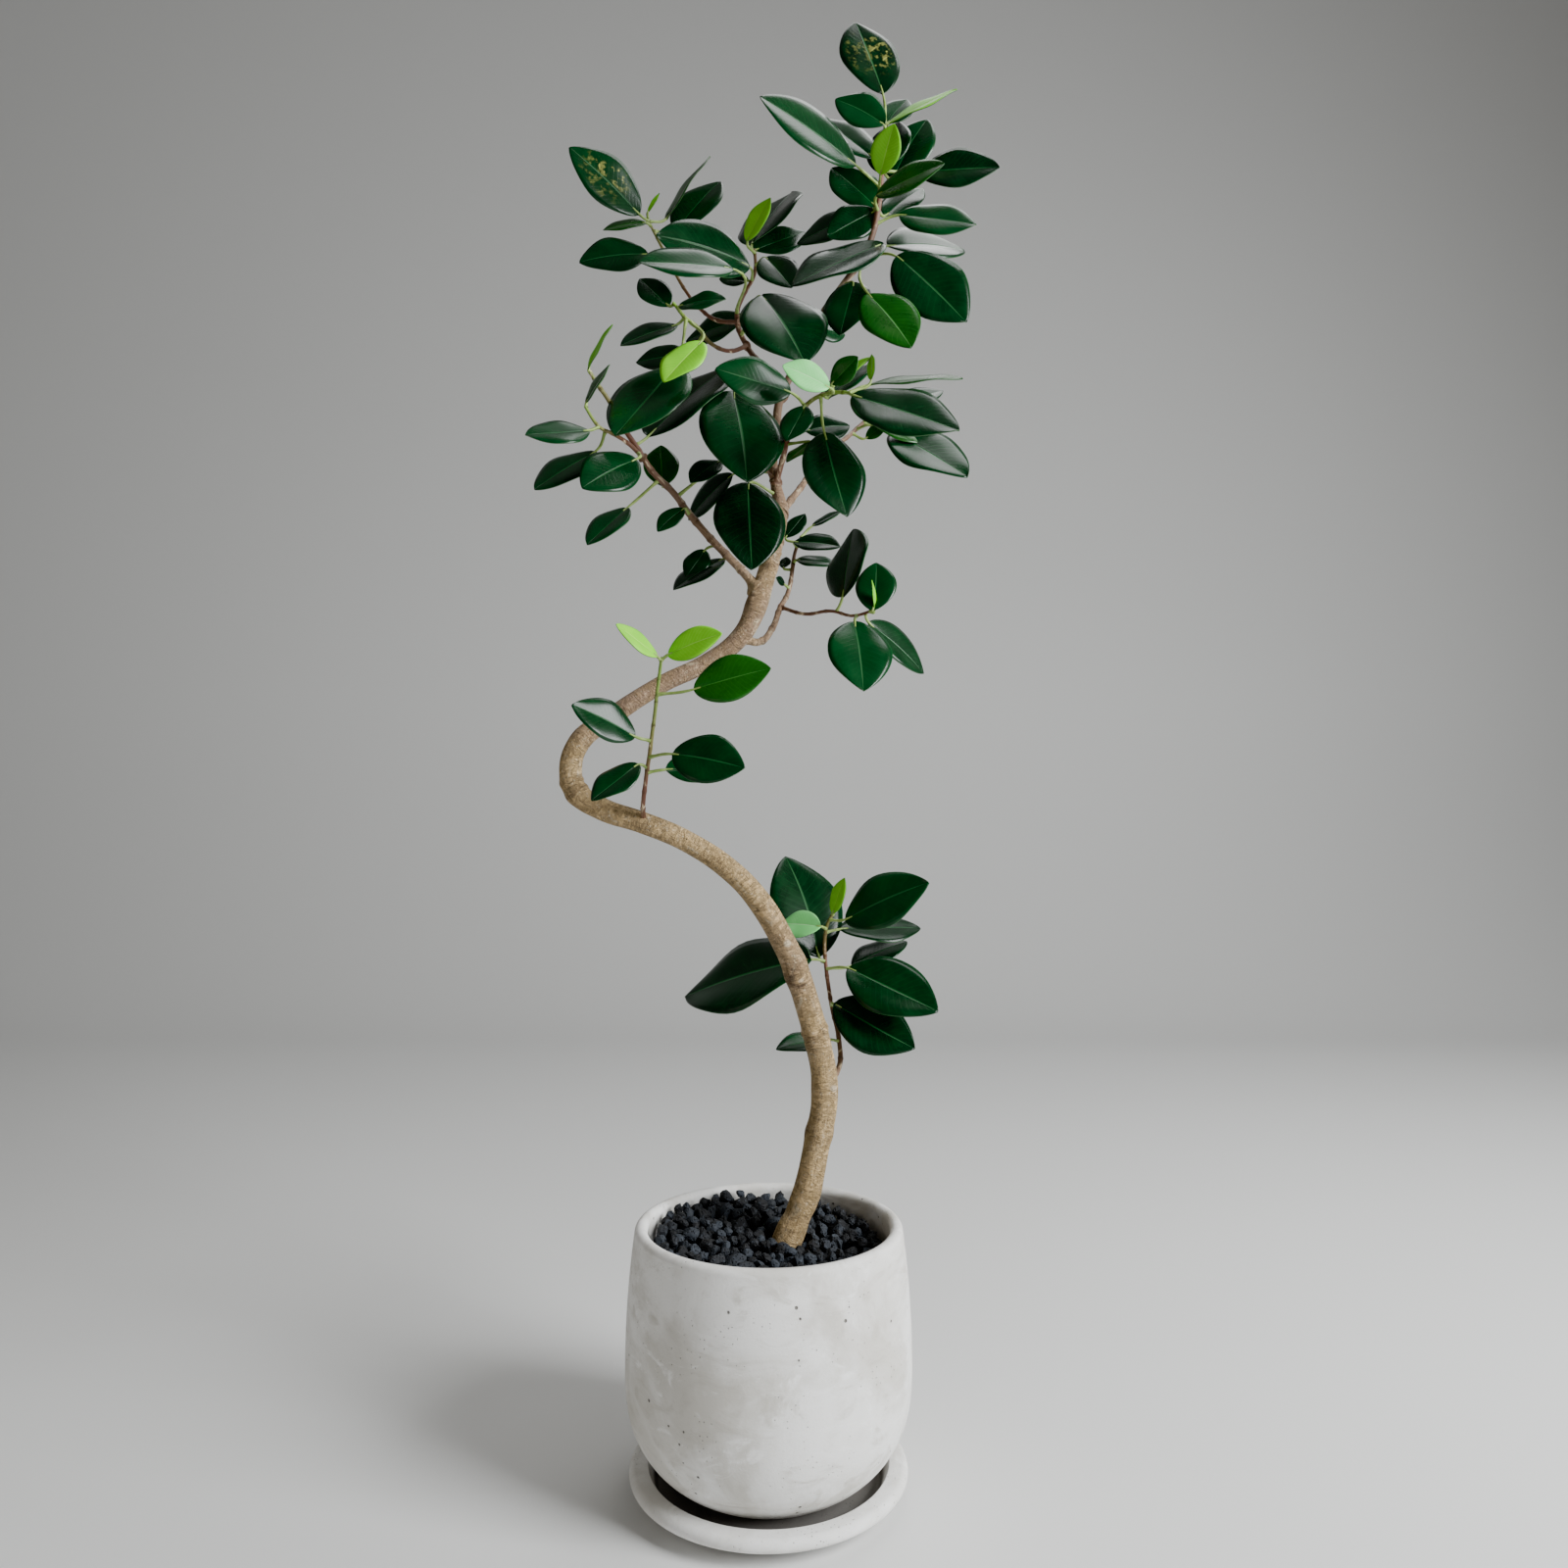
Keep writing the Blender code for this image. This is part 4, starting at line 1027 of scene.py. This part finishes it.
def grow_leaf(name, line, row, habit):
    """Shapes a blade and a stalk from their blanks. habit is this leaf's own random numbers."""
    share, reach, aim, lean, roll, length, width, kind = row
    length, width = length * LONGER * PLANT_SCALE, width * WIDER * PLANT_SCALE
    root, stem_radius = spot_along(line, share)
    base = root + Vector(reach) * PLANT_SCALE
    along, side, face = blade_axes(aim, lean, roll)
    fold, arch = habit.uniform(0.10, 0.20), habit.uniform(0.07, 0.13)
    wave, phase, sway = habit.uniform(0.004, 0.016), habit.uniform(0, math.tau), habit.uniform(-0.03, 0.03)
    blade = copy_of(blade_blank, name)
    for vert in blade.data.vertices:
        across, share_along, _ = vert.co
        half = max(width / 2 * blade_outline(share_along), 0.35 * MM)
        out = abs(across)
        lift = fold * half * (math.hypot(out, 0.12) - 0.12) - arch * length * share_along ** 2
        lift -= 0.10 * half * out ** 4
        lift += wave * length * out ** 2 * math.sin(11 * share_along + phase + (1.7 if across > 0 else 0))
        lift -= MIDRIB_GROOVE * math.exp(-(across * half / (0.9 * MM)) ** 2) * (1 - share_along)
        bend = sway * length * math.sin(math.pi * share_along)
        vert.co = base + along * length * share_along + side * (half * across + bend) + face * lift
    wear(blade, leaf_tops[kind], leaf_backs[kind], leaf_edge, leaf_stalk)
    only(blade)
    skin = blade.modifiers.new("Thickness", "SOLIDIFY")
    skin.thickness, skin.offset = BLADE_THICKNESS, 0
    skin.material_offset, skin.material_offset_rim = 1, 2
    bpy.ops.object.modifier_apply(modifier=skin.name)

    stalk = copy_of(stalk_blank, name + "_stalk")
    way = (base - root).normalized()
    start = root + way * stem_radius * 0.6
    pull = (base - start).length * 0.4
    into = base + along * length * 0.10 - face * 0.1 * MM
    corners = (start, start + way * pull, base - along * pull, into)
    for vert in stalk.data.vertices:
        t = min(max(vert.co.z, 0), 1)
        weights = ((1 - t) ** 3, 3 * t * (1 - t) ** 2, 3 * t ** 2 * (1 - t), t ** 3)
        centre = sum((corner * weight for corner, weight in zip(corners, weights)), Vector())
        shares = ((1 - t) ** 2, 2 * t * (1 - t), t ** 2)
        slopes = [(b - a) * share for a, b, share in zip(corners, corners[1:], shares)]
        tangent = sum(slopes, Vector()).normalized()
        level = (side - tangent * side.dot(tangent)).normalized()
        if level.length < 0.5:
            level = (face - tangent * face.dot(tangent)).normalized()
        girth = STALK_RADIUS * (1 + 0.5 * math.exp(-(t / 0.12) ** 2) - 0.55 * max(0, t - 0.7) / 0.3)
        vert.co = centre + (level * vert.co.x + tangent.cross(level) * vert.co.y) * girth
    wear(stalk, leaf_tops[kind], leaf_backs[kind], leaf_edge, leaf_stalk)
    for polygon in stalk.data.polygons:
        polygon.material_index = 3
    only(stalk)
    bpy.ops.object.mode_set(mode="EDIT")
    bpy.ops.mesh.select_all(action="SELECT")
    bpy.ops.mesh.normals_make_consistent(inside=False)
    only(blade)
    stalk.select_set(True)
    bpy.ops.object.join()
    mark(blade, "leaf_tint", habit.random())
    if name in BLOTCHED:
        mark(blade, "blotch", 1.0)
    blade.data.shade_smooth()
    return blade


for stem_name, rows in LEAVES.items():
    for number, row in enumerate(rows, 1):
        piece_name = f"{stem_name}_blade_{number}"
        leaf = grow_leaf(piece_name, stems[stem_name], row, random.Random(piece_name))
        node = f"{stem_name}_leaf_{number}"
        settle(leaf, f"leaf_{row[-1]}", *([node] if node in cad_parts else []))
for blank in (blade_blank, stalk_blank):
    bpy.data.objects.remove(blank)


# The studio: a plain pale floor that curves up behind, a large soft light from the right, weaker ones
# from the left and from above, and an even sky.

deselect()
bpy.ops.mesh.primitive_plane_add(size=1)
sweep = bpy.context.object
sweep.name = "studio_floor"
bpy.ops.object.mode_set(mode="EDIT")
bpy.ops.mesh.select_all(action="SELECT")
bpy.ops.transform.resize(value=(9, 3.2, 1))
bpy.ops.mesh.select_all(action="DESELECT")
bpy.ops.object.mode_set(mode="OBJECT")
for edge in sweep.data.edges:
    edge.select = all(sweep.data.vertices[corner].co.y > 1 for corner in edge.vertices)
bpy.ops.object.mode_set(mode="EDIT")
SWEEP_RADIUS, SWEEP_STEPS = 0.8, 12
for step in range(SWEEP_STEPS):
    before, after = (math.pi / 2 * (step + k) / SWEEP_STEPS for k in (0, 1))
    back = SWEEP_RADIUS * (math.sin(after) - math.sin(before))
    up = SWEEP_RADIUS * (math.cos(before) - math.cos(after))
    bpy.ops.mesh.extrude_edges_move(TRANSFORM_OT_translate={"value": (0, back, up)})
bpy.ops.mesh.extrude_edges_move(TRANSFORM_OT_translate={"value": (0, 0, 3)})
bpy.ops.mesh.select_all(action="SELECT")
bpy.ops.mesh.normals_make_consistent(inside=False)
deselect()
sweep.data.shade_smooth()
paper, paper_shader, maker = new_finish("pale_paper")
paper_shader.inputs["Base Color"].default_value = (0.74, 0.74, 0.73, 1)
paper_shader.inputs["Roughness"].default_value = 0.9
wear(sweep, paper)


def soft_light(name, place, target, size, watts, tone):
    bpy.ops.object.light_add(type="AREA", location=place)
    light = bpy.context.object
    light.name = name
    light.data.shape = "RECTANGLE"
    light.data.size, light.data.size_y = size
    light.data.energy, light.data.color = watts, tone
    light.rotation_euler = (Vector(target) - Vector(place)).to_track_quat("-Z", "Y").to_euler()
    return light


soft_light("window", (1.50, -0.80, 1.15), (0, 0, 0.42), (0.8, 1.1), 126, (0.97, 0.99, 1.0))
soft_light("fill", (-1.5, -1.0, 0.6), (0, 0, 0.4), (0.9, 0.9), 4, (1.0, 0.92, 0.80))
soft_light("top", (0.35, 0.45, 1.9), (0, 0, 0.5), (0.8, 0.8), 14, (1, 1, 1))
sky = bpy.data.worlds.new("sky")
sky.use_nodes = True
sky.node_tree.nodes["Background"].inputs["Color"].default_value = (0.84, 0.83, 0.80, 1)
sky.node_tree.nodes["Background"].inputs["Strength"].default_value = 0.34
bpy.context.scene.world = sky

FOCAL_LENGTH, SENSOR = 25.4, 36
bpy.ops.object.camera_add(location=(0.0093, -0.700, 0.3866), rotation=(math.radians(93.44), 0, 0))
camera = bpy.context.object
camera.data.lens, camera.data.sensor_width = FOCAL_LENGTH, SENSOR
camera.data.clip_start = 0.01
bpy.context.scene.camera = camera
bpy.context.scene.view_settings.look = "AgX - Punchy"
